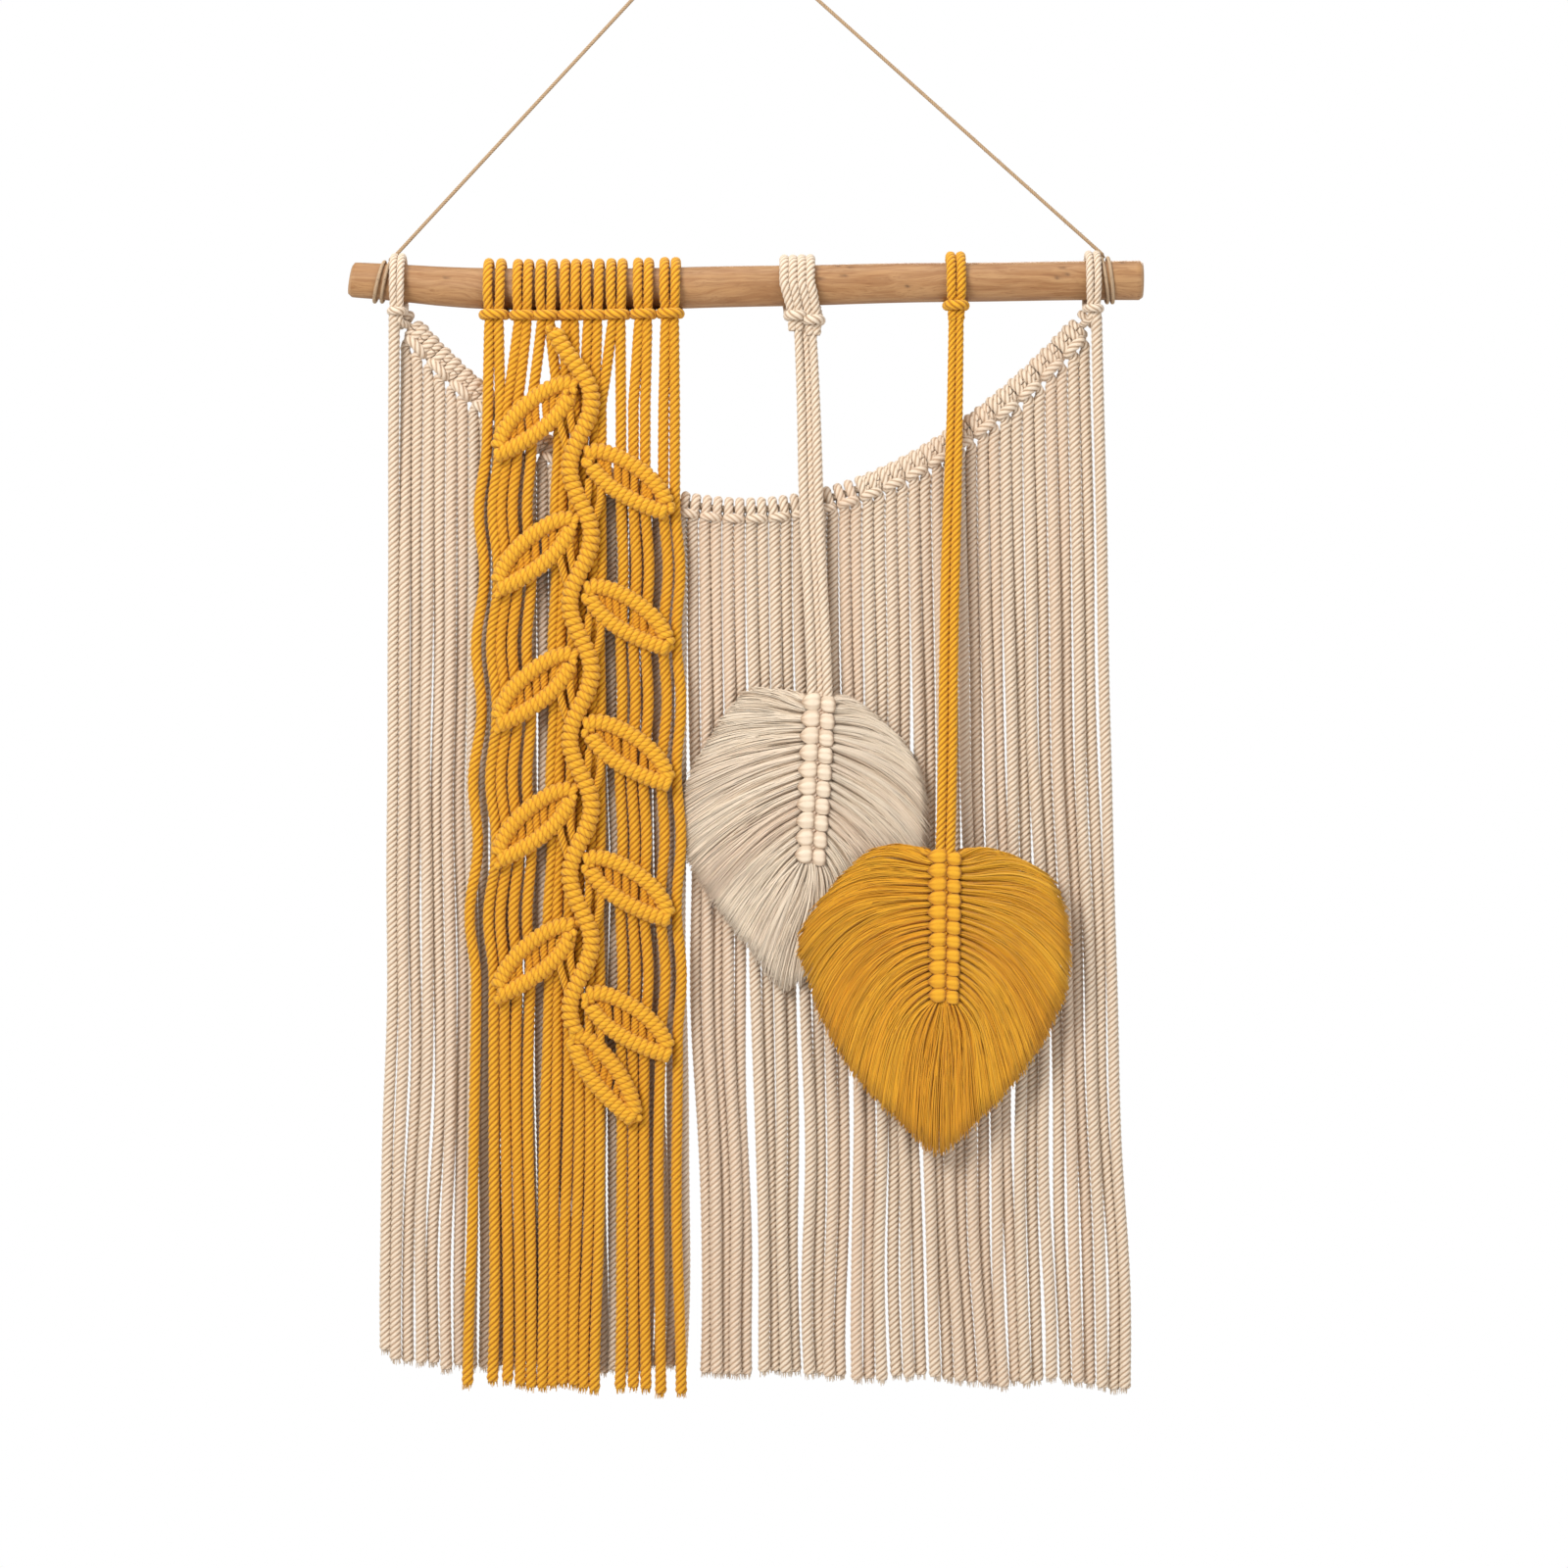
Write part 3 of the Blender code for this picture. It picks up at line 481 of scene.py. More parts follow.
def makeRod(form):
    rings, sides = form["rings"], form["sides"]
    left, right = rodLow[0], rodHigh[0]
    x = np.linspace(left, right, rings)
    inset = np.minimum(x - left, right - x)
    x = np.concatenate([[left], x, [right]])
    inset = np.concatenate([[0], inset, [0]])
    edge = np.clip(1 - inset / form["chamfer"], 0, 1)
    radius = stickAt(x, "radius") - form["chamfer"] * (1 - np.sqrt(1 - edge**2)) * 0.9
    radius[0] = radius[1] * 0.5
    radius[-1] = radius[-2] * 0.5
    turn = 2 * pi * np.arange(sides) / sides
    lump = (np.sin(2 * turn + x[:, None] * 9) + 0.6 * np.sin(3 * turn - x[:, None] * 31)
            + 0.5 * np.sin(x[:, None] * 70 + turn))
    reach = radius[:, None] + form["lump"] * lump * np.clip(inset / (4 * mm), 0, 1)[:, None]
    dark = np.zeros((len(x), sides))
    long, wide = form["pitSize"]
    for place, height in form["pits"]:
        off = np.remainder(turn - radians(height) + pi, 2 * pi) - pi
        far = np.hypot((x[:, None] - place) / long, off * rodRadius / wide)
        dark = np.maximum(dark, np.exp(-far**2))
    reach = reach - form["pitDepth"] * dark
    cut = np.clip(1 - (x - left) / form["slantReach"], 0, 1)[:, None]
    points = stacked(x[:, None] + form["slant"] * (1 + np.sin(turn)) * cut, -reach * np.cos(turn),
                     rodAxis[2] + stickAt(x, "lift")[:, None] + reach * np.sin(turn))
    fibre = stacked(np.cos(turn), np.sin(turn), x[:, None] * 100)
    ends = np.clip(1 - (inset - 0.3 * mm) / (0.7 * mm), 0, 1)
    skein = Skein()
    skein.tube(points, fibre, dark, np.repeat(ends * 0.8, sides), True)
    skein.build("woodenRod", "wood", "rod", ["rod"])


makeRod(rodForm)
print("stage 4: rod made")


# hanging twine and its wraps; a foot is where a leg meets the rod, and where its end is tucked away
twineForm = {"radius": 1.0 * mm, "pitch": 5.0 * mm, "hairs": 90, "hair": 0.07 * mm, "legs": 11, "seed": 11,
             "feet": ((-161.0 * mm, -165.0 * mm), (192.4 * mm, 195.2 * mm)),
             "crown": ((-3 * mm, 0, -1.1 * mm), (0, 0, 1.0 * mm), (3 * mm, 0, -1.1 * mm))}


def makeTwine(form):
    random = np.random.default_rng(form["seed"])
    crown, legs, hairs = form["crown"], form["legs"], form["hairs"]
    route = []
    for (x, tuck), end in zip(form["feet"], crown[::2]):
        base = rodAxis[2] + float(stickAt(x, "lift")) + rodRadius
        foot = np.array((x, 1.5 * mm, base + 4.4 * mm))
        leg = [(tuck, 3 * mm, base + 0.9 * mm), (tuck * 0.6 + x * 0.4, 2.5 * mm, base + 2.6 * mm)]
        leg += [tuple(foot + (np.array(end) - foot) * k / legs) for k in range(legs)] + [end]
        route = route + leg if x < 0 else route + [crown[1]] + leg[::-1]
    skein = Skein()
    path = addRope(skein, route, form["radius"], 0.3, 0.4, form["pitch"])
    chosen = random.integers(5, len(path) - 5, hairs)
    turns = random.uniform(0, 2 * pi, hairs)
    out = stacked(np.cos(turns) * 0.5, np.sin(turns), np.cos(turns) * 0.6)
    root = path[chosen] + out * 0.8 * mm
    ahead = path[chosen + 3] - path[chosen]
    tip = root + out * random.uniform(0.6, 1.8, hairs)[:, None] * mm + ahead * 0.8
    routes = np.stack([root, (root + tip) / 2 + out * 0.25 * mm, tip], axis=1)
    addHairs(skein, routes, np.full((hairs, 3), form["hair"]), np.full(hairs, 0.6), np.ones((1, 3)))
    piece = skein.build("hangingTwine", "jute", "rod", ["hanging_twine"])
    length = lengthOf(path)
    return length


def makeWrap(name, node, turns, lean, radius):
    low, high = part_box(node)
    middle = (low[0] + high[0]) / 2
    centre = rodAxis[2] + float(stickAt(middle, "lift"))
    skein = Skein()
    reach = float(stickAt(middle, "radius")) + radius + 0.15 * mm
    for k, offset in enumerate(turns):
        ring = []
        for step in range(25):
            angle = 2 * pi * step / 24
            x = middle + offset * mm + lean[k] * mm * sin(angle)
            ring.append((x, -reach * cos(angle), centre + reach * sin(angle)))
        addRope(skein, ring, radius, 0.95, 0.8 * k, 4.2 * mm, ends=(False, False))
    skein.build(name, "jute", "rod", [node])


twineLength = makeTwine(twineForm)
makeWrap("twineWrapLeft", "twine_wrap_left", (-2.0, 1.4), (2.6, 2.3), 0.95 * mm)
makeWrap("twineWrapRight", "twine_wrap_right", (-1.6, 1.4), (-1.6, -1.3), 0.95 * mm)
print("stage 5: twine made", round(twineLength, 4))


# the lark's head round the rod, in millimetres from its axis; s is the side, h half the spacing
def rodHead(s, h):
    k = h / 3.1
    return [(2.3 * s * k, -10.6, -20), (2.3 * s * k, -11, -15), (3.0 * s * k, -12.9, -6), (h * s, -13, 0),
            (h * s, -9.3, 9.3), (h * s, 0, 13.1), (1.03 * h * s, 9.3, 9.3), (1.13 * h * s, 13, 0),
            (1.3 * h * s, 9, -9.6), (1.55 * h * s, 1, -13.8), (1.75 * h * s, -7, -15.2),
            (1.4 * h * s, -13.4, -15.3)]


def headRoute(middle, h, drop=0.0, slant=0.0):
    base = rodAxis[2] + float(stickAt(middle, "lift"))
    rows = [[(middle + (x + slant * min(1, max(0, (z + 15) / 15))) * mm, y * mm,
              base + (z - (drop if z < -12 else 0)) * mm) for x, y, z in rodHead(s, h)] for s in (-1, 1)]
    bar = (middle, -15.6 * mm, base - (15.5 + drop) * mm)
    return rows[0] + [bar] + rows[1][::-1]


# the hems of the two colours: a slope and a slow wave
goldHem = {"z": -0.7385, "slope": 0.05, "at": -0.12, "wave": 1.4 * mm, "turns": 190, "phase": 0.0}
whiteHem = {"z": -0.7335, "slope": 0.03, "at": -0.05, "wave": 1.8 * mm, "turns": 95, "phase": 1.0}


def hemAt(x, hem):
    wave = hem["wave"] * sin(x * hem["turns"] + hem["phase"])
    return hem["z"] - hem["slope"] * (x - hem["at"]) - wave


# the gold panel: eight folded cords
goldForm = {
    "first": -111.45 * mm, "pitch": 12.5 * mm, "seed": 23, "rise": -1.4, "twist": 13 * mm,
    "middles": (0.0, 1.8, 1.0, 0.6, -0.6, -1.2, -0.3, 0.6),
    "halves": (3.1, 2.7, 2.9, 2.7, 3.1, 2.8, 2.7, 2.8),
    "under": ((-114.5, -108.3), (-104.8, -99.6), (-92.6, -78.8), (-76.0, -70.5), (-66.5, -61.0),
              (-57.6, -47.8), (-41.5, -35.6), (-26.4, -20.9)),
    "hems": ((-124.5, -112.6), (-105.5, -99.3), (-93.6, -87.6), (-82.0, -76.3), (-70.6, -65.2),
             (-59.8, -48.0), (-42.2, -36.4), (-29.0, -18.6)),
    "underDrop": 60 * mm, "wander": 1.1 * mm, "own": 0.35 * mm, "steps": 64, "layer": -10.6 * mm,
    "leafLift": 3.0 * mm, "stem": -67.7 * mm, "leafPitch": 67.7 * mm,
    "bow": {"left": -3.4 * mm, "right": 2.2 * mm},
}


# between the leaves the strands bow away from the stem, and are drawn in again at each leaf's tip
def bowed(x, z, form):
    side = "left" if x < form["stem"] else "right"
    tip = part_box(f"vine_leaf_{side}_1")[0][2] + 7 * mm
    depth = (tip - z) / form["leafPitch"]
    if not 0 < depth < 4:
        return 0.0
    size = form["bow"][side] * min(1.0, abs(x - form["stem"]) / (40 * mm))
    return size * sin(pi * depth)**2


def panelLeg(top, under, hem, seed, form, leaves):
    first = (under * mm, rodAxis[2] - form["underDrop"])
    rows = []
    for share in (0.35, 0.7, 1.0):
        x = top[0] + (first[0] - top[0]) * share**1.1
        rows.append((x, form["layer"], top[2] + (first[1] - top[2]) * share))
    bottom = (hem * mm, hemAt(hem * mm, goldHem))
    rows += legDown(rows[-1], bottom, seed, form["wander"], form["layer"], form["steps"], 1.0, form["own"])
    lifted = []
    for x, y, z in rows:
        for left, right, z0, slope in leaves:
            if left < x < right:
                off = z - (z0 + slope * (x - left)) + 5 * mm
                y -= form["leafLift"] * exp(-(off / (8 * mm))**2)
        lifted.append((x + bowed(x, z, form), y, z))
    return lifted


# where each leaf's lower row crosses the panel: its left, its right, its height at the left and its slope
def lowerRows():
    rows = []
    for k in range(1, 6):
        for side, turn in (("left", 1), ("right", -1)):
            low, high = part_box(f"vine_leaf_{side}_{k}")
            start = low[2] + 6 * mm if side == "left" else high[2] - 12 * mm
            rows.append((low[0], high[0], start, turn * (high[2] - low[2] - 16 * mm) / (high[0] - low[0])))
    return rows


cordNotes = {}


# one cord: its size where it hangs and where it is knotted, above a height, and tufts at both ends
def makeCord(name, route, above, sizes, tone, phase, slot, body, nodes, random, pitch=None):
    full, tight, soft = sizes
    places, along = curveThrough(route, 2 * mm)
    knotted = along[places[:, 2] > above]
    skein = Skein()
    size = squeezed(full, tight, knotted[0], knotted[-1], soft)
    path = addRope(skein, route, size, tone, phase, pitch, flare=0.1)
    for tip, inner in ((path[0], path[3]), (path[-1], path[-4])):
        addTuft(skein, tip, tip - inner, random, tone)
    piece = skein.build(name, slot, body, nodes)
    length = float(lengthOf(path))
    route = path[::4].tolist()
    if (len(path) - 1) % 4:
        route.append(path[-1].tolist())
    cordNotes[name] = round(length, 4)


def makeGoldCords(form):
    random = np.random.default_rng(form["seed"])
    leaves = lowerRows()
    for k, (under, hems) in enumerate(zip(form["under"], form["hems"])):
        middle = form["first"] + form["pitch"] * k + form["middles"][k] * mm
        head = headRoute(middle, form["halves"][k], form["rise"])
        left = panelLeg(head[0], under[0], hems[0], 1.0 + 0.3 * k, form, leaves)
        right = panelLeg(head[-1], under[1], hems[1], 1.2 + 0.3 * k, form, leaves)
        route = left[::-1] + head + right
        tone = random.uniform(0.55, 1.0)
        makeCord(f"goldCord{k + 1}", route, rodAxis[2] - 24 * mm, (1.06 * cord, knotCord, 6 * mm), tone,
                 random.uniform(0, 6), "gold_cotton", "vine_panel", [f"gold_cord_{k + 1}"], random,
                 form["twist"])


makeGoldCords(goldForm)
print("stage 6: gold cords made")


# the vine: a coiled stem and hitched leaves; a feeder starts so far out and down, and joins so far down
vineForm = {
    "cord": 2.05 * mm, "coil": 2.55 * mm, "turn": 3.6 * mm, "rowCord": 2.0 * mm, "rowCoil": 2.35 * mm,
    "rowTurn": 3.2 * mm, "rowTwist": 8.5 * mm, "twist": 9 * mm, "tilt": -0.9 * mm, "swing": 5.4 * mm,
    "lean": 8.0 * mm, "length": 49.0 * mm, "height": 25.0 * mm, "period": 67.7, "phase": 41.8 * mm,
    "middle": -67.7 * mm, "leaves": 5, "bars": 8,
    "feeders": ((-1, 61.0, ((10.5, 0.0, 17.0), (16.0, -4.0, 24.0))),
                (1, 97.0, ((9.0, 1.0, 14.0), (15.0, 4.0, 23.0)))),
    "upperRow": ((0.0, 0.22), (0.10, 0.70), (0.27, 1.0), (0.48, 1.02), (0.67, 0.84), (0.83, 0.42),
                 (0.925, -0.12), (0.95, -0.42)),
    "lowerRow": ((0.075, -0.10), (0.12, -0.40), (0.25, -0.80), (0.43, -1.02), (0.62, -1.05), (0.80, -0.98),
                 (0.98, -0.80)),
}


def stemX(z):
    turn = 2 * pi * (rodAxis[2] - z - vineForm["phase"]) / (vineForm["period"] * mm)
    return vineForm["middle"] + vineForm["swing"] * sin(turn)


def coilAlong(centres, coil, turn, squash=1.0, phase=0.0, lean=0.0):
    path, along = curveThrough(centres, turn / 10)
    tangent = np.gradient(path, axis=0)
    tangent /= np.linalg.norm(tangent, axis=1)[:, None]
    front = np.array([0.0, -1.0, 0.0])
    across = np.cross(tangent, front)
    across /= np.linalg.norm(across, axis=1)[:, None]
    angle = phase + 2 * pi * along / turn
    return (path + across * (coil * np.sin(angle))[:, None]
            + front * (coil * squash * np.cos(angle))[:, None]
            + tangent * (lean * np.sin(angle))[:, None])


def makeStem(form):
    low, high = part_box("vine_stem")
    y = (low[1] + high[1]) / 2
    top, foot = high[2] - 0.5 * mm, low[2] + 0.5 * mm
    centres = [(stemX(z) - form["lean"] * max(0.0, 1 - (top - z) / (30 * mm))**1.5, y, z)
               for z in np.linspace(top, foot, 60)]
    skein = Skein()
    route = coilAlong(centres, form["coil"], form["turn"], 1.0, 0.6, form["tilt"])
    addRope(skein, route, form["cord"], 0.9, 0.2, form["twist"], smooth=True)
    # the core inside the coil gets a low tone: painted shade
    addRope(skein, [(x, y + 0.3 * mm, z) for x, y, z in centres], 2.4 * mm, 0.2, 0.7, form["twist"])
    for k in range(form["leaves"]):
        for side, drop, plans in form["feeders"]:
            z0 = rodAxis[2] - (drop + form["period"] * k) * mm
            for out, start, down in plans:
                foot = (stemX(z0 - down * mm) + side * 2.0 * mm, y + 1.6 * mm, z0 - down * mm)
                head = (stemX(z0) + side * out * mm, y + 1.0 * mm, z0 - start * mm)
                bulge = (head[0] - side * 0.2 * mm, y - 0.2 * mm, z0 - (start * 0.5 + down * 0.42) * mm)
                addRope(skein, [head, bulge, foot], form["rowCord"], 0.75, k + out, form["twist"])
    skein.build("vineStem", "gold_cotton", "vine_panel", ["vine_stem"])


def leafRowCentres(root, angle, y, plan, form):
    along = np.array([cos(angle), 0, sin(angle)])
    across = np.array([-0.25 * along[2] * copysign(1, along[0]), 0, 1.0])
    across /= np.linalg.norm(across)
    reach = form["height"] / 2 - form["rowCoil"] - form["rowCord"]
    rows = []
    for u, v in plan:
        point = root + along * (u * form["length"]) + across * (v * reach)
        rows.append((point[0], y, point[2]))
    return rows


def makeLeaf(name, node, degrees, seed, form):
    angle = radians(degrees)
    low, high = (np.array(c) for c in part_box(node))
    middle = (low + high) / 2
    along = np.array([cos(angle), 0, sin(angle)])
    root = middle - along * form["length"] / 2
    y = middle[1] - 0.6 * mm
    random = np.random.default_rng(seed)
    skein = Skein()
    upper = leafRowCentres(root, angle, y + 0.6 * mm, form["upperRow"], form)
    lower = leafRowCentres(root, angle, y - 0.2 * mm, form["lowerRow"], form)
    coil, turn, rowCord, twist = form["rowCoil"], form["rowTurn"], form["rowCord"], form["rowTwist"]
    for row in (upper, lower):
        route = coilAlong(row, coil, turn, 0.92, random.uniform(0, 6), form["tilt"])
        addRope(skein, route, rowCord, random.uniform(0.75, 1.0), random.uniform(0, 6), twist, smooth=True)
        # the core inside each row gets a low tone: painted shade
        addRope(skein, row, 1.9 * mm, 0.2, 0.3, form["twist"])
    upperPath, _ = curveThrough(upper, 1 * mm)
    lowerPath, _ = curveThrough(lower, 1 * mm)
    behind = (0, 2.0 * mm, 0)
    # the bars sit behind the rows, in the slit, and get a low tone: painted shade
    for k in range(form["bars"]):
        share = 0.13 + 0.098 * k + random.uniform(-0.012, 0.012)
        top = upperPath[int(share * (len(upperPath) - 1))]
        foot = lowerPath[int(min(0.93, share + 0.10) * (len(lowerPath) - 1))]
        bend = (top + foot) / 2 + np.array([random.uniform(-0.5, 0.5) * mm, 1.4 * mm, 0])
        addRope(skein, [top + behind, bend, foot + behind], 2.1 * mm, random.uniform(0.0, 0.35),
                random.uniform(0, 6), 8 * mm)
    knob = coilAlong([lower[0], lower[0] - along * 3.2 * mm], coil * 0.72, turn, 0.9, 0.5)
    addRope(skein, knob, rowCord, 0.95, 0.4, twist, smooth=True)
    skein.build(name, "gold_cotton", "vine_panel", [node])


def makeVine(form):
    makeStem(form)
    for k in range(form["leaves"]):
        makeLeaf(f"vineLeafLeft{k + 1}", f"vine_leaf_left_{k + 1}", 213, 40 + k, form)
        makeLeaf(f"vineLeafRight{k + 1}", f"vine_leaf_right_{k + 1}", -26, 60 + k, form)
    makeLeaf("vineLeafTip", "vine_leaf_tip", -46, 80, form)


makeVine(vineForm)
print("stage 7: vine made")


# the carrier cord, its loops and tails: one cord from hem to hem
carrierForm = {"count": 30, "thin": 2.05 * mm, "sagTo": 93.5 * mm, "leftHem": -165.6 * mm,
               "rightHem": 204.6 * mm, "loops": ((-160.1 * mm, 1.85), (189.1 * mm, 1.95)),
               "drop": 18.7 * mm, "steps": 24, "seed": 5,
               "layer": -1.0 * mm, "tone": 0.8}
curtainForm = {
    "partings": ((-8.9, 7.0), (17.0, 5.5), (43.6, 3.2), (66.0, 2.4), (85.0, 1.2), (104.0, 2.2), (169.0, 1.4)),
    "wander": 2.0 * mm, "left": -160.2, "right": 199.4, "reach": 22.0, "stagger": 2.2, "seed": 71,
    "spanLeft": -153.2 * mm, "spanRight": 182.0 * mm, "steep": 1.07,
}
carrierLow, carrierHigh = (np.array(c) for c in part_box("carrier_cord"))
carrierLeft = carrierLow[0] + 1.0 * mm
carrierRight = carrierHigh[0] - 1.0 * mm


def carrierShare(x):
    return (2 * x - carrierLeft - carrierRight) / (carrierRight - carrierLeft)


def carrierZ(x):
    return rodAxis[2] - carrierForm["drop"] - carrierForm["sagTo"] * (1 - carrierShare(x)**2)


def carrierSlope(x):
    return carrierForm["sagTo"] * 4 * carrierShare(x) / (carrierRight - carrierLeft)


def makeCarrier(form):
    random = np.random.default_rng(form["seed"])
    left, right = (headRoute(middle, half) for middle, half in form["loops"])
    hems = ((left[0], form["leftHem"], 5 * mm), (right[-1], form["rightHem"], 0.0))
    tails = [legDown(top, (hem, hemAt(hem, whiteHem) + rise), 0.9, curtainForm["wander"], form["layer"], 22)
             for top, hem, rise in hems]
    curve = []
    for k in range(form["steps"] + 1):
        x = carrierLeft + 3 * mm + (carrierRight - carrierLeft - 6 * mm) * k / form["steps"]
        curve.append((x, 0.0, carrierZ(x)))
    lead, trail = ([(end[0] + shift * mm, -8.2 * mm, end[2] - 1.2 * mm)]
                   for end, shift in ((left[-1], 1.6), (right[0], -1.6)))
    route = tails[0][::-1] + left + lead + curve + trail + right + tails[1]
    makeCord("carrierCord", route, left[0][2] + 1 * mm, (fullCord * 0.97, form["thin"], 8 * mm), form["tone"],
             1.0, "white_cotton", "curtain", ["carrier_cord", "carrier_loop_left", "carrier_loop_right"],
             random)


# a lark's head round the carrier, in the carrier's own frame, millimetres
def carrierHead(s, wide):
    rows = [(2.85, -1.7, -8.6), (2.8, -3.4, -4.2), (2.7, -4.1, 0), (2.7, -2.9, 2.9), (2.7, 0, 4.1),
            (2.7, 2.9, 2.9), (2.9, 4.1, 0), (3.3, 2.9, -3.0), (3.7, 0, -4.6), (3.4, -3.6, -5.0),
            (2.1, -5.4, -4.8)]
    return [(x * s * wide, y, z) for x, y, z in rows]


def parted(x, form):
    moved = x
    for place, wide in form["partings"]:
        off = x - place
        moved += copysign(wide / 2, off) * exp(-abs(off) / form["reach"])
    return moved


def makeCurtain(form):
    random = np.random.default_rng(form["seed"])
    hitches = Skein()
    total = carrierForm["count"]
    pitch = (form["spanRight"] - form["spanLeft"]) / total
    hemPitch = (form["right"] - form["left"]) / (2 * total - 1)
    # where the doubled wraps stand beside a cord, in half pitches; more of them beside the loops
    nearLoops = {0: (-1.7, -0.85, 0, 1), total - 1: (0, 1, 1.8)}
    for k in range(total):
        x = form["spanLeft"] + (k + 0.5) * pitch
        slope = carrierSlope(x)
        steep = sqrt(1 + slope * slope)
        along = np.array([1, 0, slope]) / steep
        up = np.array([-slope, 0, 1]) / steep
        centre = np.array([x, 0, carrierZ(x)])
        halves = []
        for s in (-1, 1):
            rows = [tuple(centre + (along * a + up * c) * mm + np.array([0, b * mm, 0]))
                    for a, b, c in carrierHead(s, steep**0.9)]
            index = 2 * k + (s > 0)
            hem = parted(form["left"] + hemPitch * index, form) * mm
            depth = form["stagger"] * (1 if index % 2 else -1) * mm * random.uniform(0.5, 1.0) - 0.2 * mm
            bottom = hemAt(hem, whiteHem) + random.uniform(-1.5, 1.5) * mm
            neck = (rows[0][0] - slope * 0.4 * mm, -1.2 * mm, rows[0][2] - 7 * mm)
            own = 0.75 * mm * random.uniform(-1, 1)
            leg = legDown(neck, (hem, bottom), 0.9, form["wander"], depth, 20, 1.15, own)
            halves.append(leg[::-1] + [neck] + rows)
        bar = tuple(centre - up * 4.7 * mm + np.array([0, -5.8 * mm, 0]))
        route = halves[0] + [bar] + halves[1][::-1]
        tone = random.uniform(0.35, 1.0)
        for share in nearLoops.get(k, (0, 1)) if steep > form["steep"] else ():
            offset = share * pitch * steep / 2
            ring = []
            for step in range(17):
                turn = 2 * pi * step / 16
                place = centre + along * (offset - 0.5 * mm * cos(turn)) + up * 4.0 * mm * sin(turn)
                ring.append(tuple(place + np.array([0, -4.0 * mm * cos(turn), 0])))
            addRope(hitches, ring, (1.55 + 1.3 * (steep - 1)) * mm, tone, offset * 900, ends=(False, False))
        sizes = (fullCord, (2.4 + 0.5 * (steep - 1)) * mm, 4 * mm)
        makeCord(f"curtainCord{k + 1:02d}", route, centre[2] - 6.5 * mm * steep, sizes, tone,
                 random.uniform(0, 6), "white_cotton", "curtain", [f"curtain_bundle_{k // 2 + 1:02d}"],
                 random)
    hitches.build("carrierHitches", "white_cotton", "curtain")


makeCarrier(carrierForm)
makeCurtain(curtainForm)
print("stage 8: curtain made")


# the leaf pendants; fans say where along the rim a yarn ends, leaves and arrivals at what angle it leaves the
# spine and meets the rim, all by stations down the spine
whitePendant = {
    "colour": "white", "ring": 44.2, "middle": 51.7, "heads": (-4.35, 4.35), "half": 2.15,
    "headDrop": (1.0, 3.4), "slant": -3.6, "pinch": 0.92, "hangers": ((-3.9, 0.6), (0.2, 2.0), (4.0, 0.5)),
    "rows": 10, "length": 85.0, "lean": -4.5, "size": (123.0, 148.0), "spineHalf": 7.6, "seed": 5,
    "tone": 0.86, "yarns": 23, "locks": 15, "handles": (0.30, 0.40),
    "stations": (0, 0.1, 0.3, 0.55, 0.8, 1.0),
    "fans": ((0.0, 0.22, 0.50, 0.70, 0.86, 1.0), (0.0, 0.20, 0.46, 0.64, 0.82, 1.0)),
    "leaves": ((24, 6, -14, -24, -42, -96), (22, -2, -22, -32, -48, -88)),
    "arrivals": ((14, -14, -36, -50, -62, -84), (-24, -46, -58, -66, -76, -98)),
    "rims": (((-0.075, 0.0), (-0.20, -0.01), (-0.31, 0.004), (-0.43, 0.13), (-0.535, 0.30), (-0.562, 0.44),
              (-0.52, 0.58), (-0.42, 0.71), (-0.29, 0.85), (-0.155, 0.985)),
             ((0.075, 0.01), (0.15, 0.03), (0.27, 0.11), (0.38, 0.22), (0.43, 0.34), (0.435, 0.52),
              (0.36, 0.65), (0.22, 0.78), (0.05, 0.90), (-0.135, 1.0))),
}
goldPendant = {
    "colour": "gold", "ring": 120.2, "middle": 114.2, "heads": (0.0,), "half": 2.5,
    "headDrop": (-2.6,), "slant": 0.0, "pinch": 0.72, "hangers": ((-2.5, 0.4), (2.4, 0.0)),
    "rows": 11, "length": 76.0, "lean": -0.5, "size": (133.5, 150.7), "spineHalf": 7.6, "seed": 9,
    "tone": 0.55, "yarns": 27, "locks": 19, "handles": (0.30, 0.52),
    "stations": (0, 0.08, 0.3, 0.5, 0.8, 1.0),
    "fans": ((0.0, 0.20, 0.52, 0.68, 0.86, 1.0), (0.0, 0.20, 0.50, 0.66, 0.84, 1.0)),
    "leaves": ((14, 2, -4, -8, -30, -90), (2, -8, -14, -18, -36, -90)),
    "arrivals": ((-2, -30, -66, -76, -82, -90), (-8, -34, -60, -72, -80, -90)),
    "rims": (((-0.07, 0.0), (-0.18, -0.005), (-0.29, 0.015), (-0.43, 0.14), (-0.54, 0.30), (-0.50, 0.45),
              (-0.42, 0.62), (-0.31, 0.76), (-0.17, 0.89), (-0.045, 0.995)),
             ((0.07, 0.0), (0.20, 0.01), (0.38, 0.09), (0.44, 0.19), (0.462, 0.31), (0.45, 0.46),
              (0.37, 0.62), (0.25, 0.77), (0.11, 0.90), (-0.02, 1.0))),
}


# a pendant's piece is named for its colour, and so are its body and its node
def buildPart(skein, form, piece, body, node):
    colour = form["colour"]
    skein.build(f"{colour}{piece}", f"{colour}_cotton", f"{colour}_{body}", [f"{colour}_{node}"])


def makeHeads(form):
    skein = Skein()
    for k, offset in enumerate(form["heads"]):
        route = headRoute(form["ring"] * mm + offset * mm, form["half"], form["headDrop"][k], form["slant"])
        foot = [(x, y, z - 3 * mm) for x, y, z in (route[0], route[-1])]
        addRope(skein, [foot[0]] + route + [foot[1]], knotCord, 0.85, 1.3 * k)
    buildPart(skein, form, "PendantHeads", "loop", "pendant_loop")


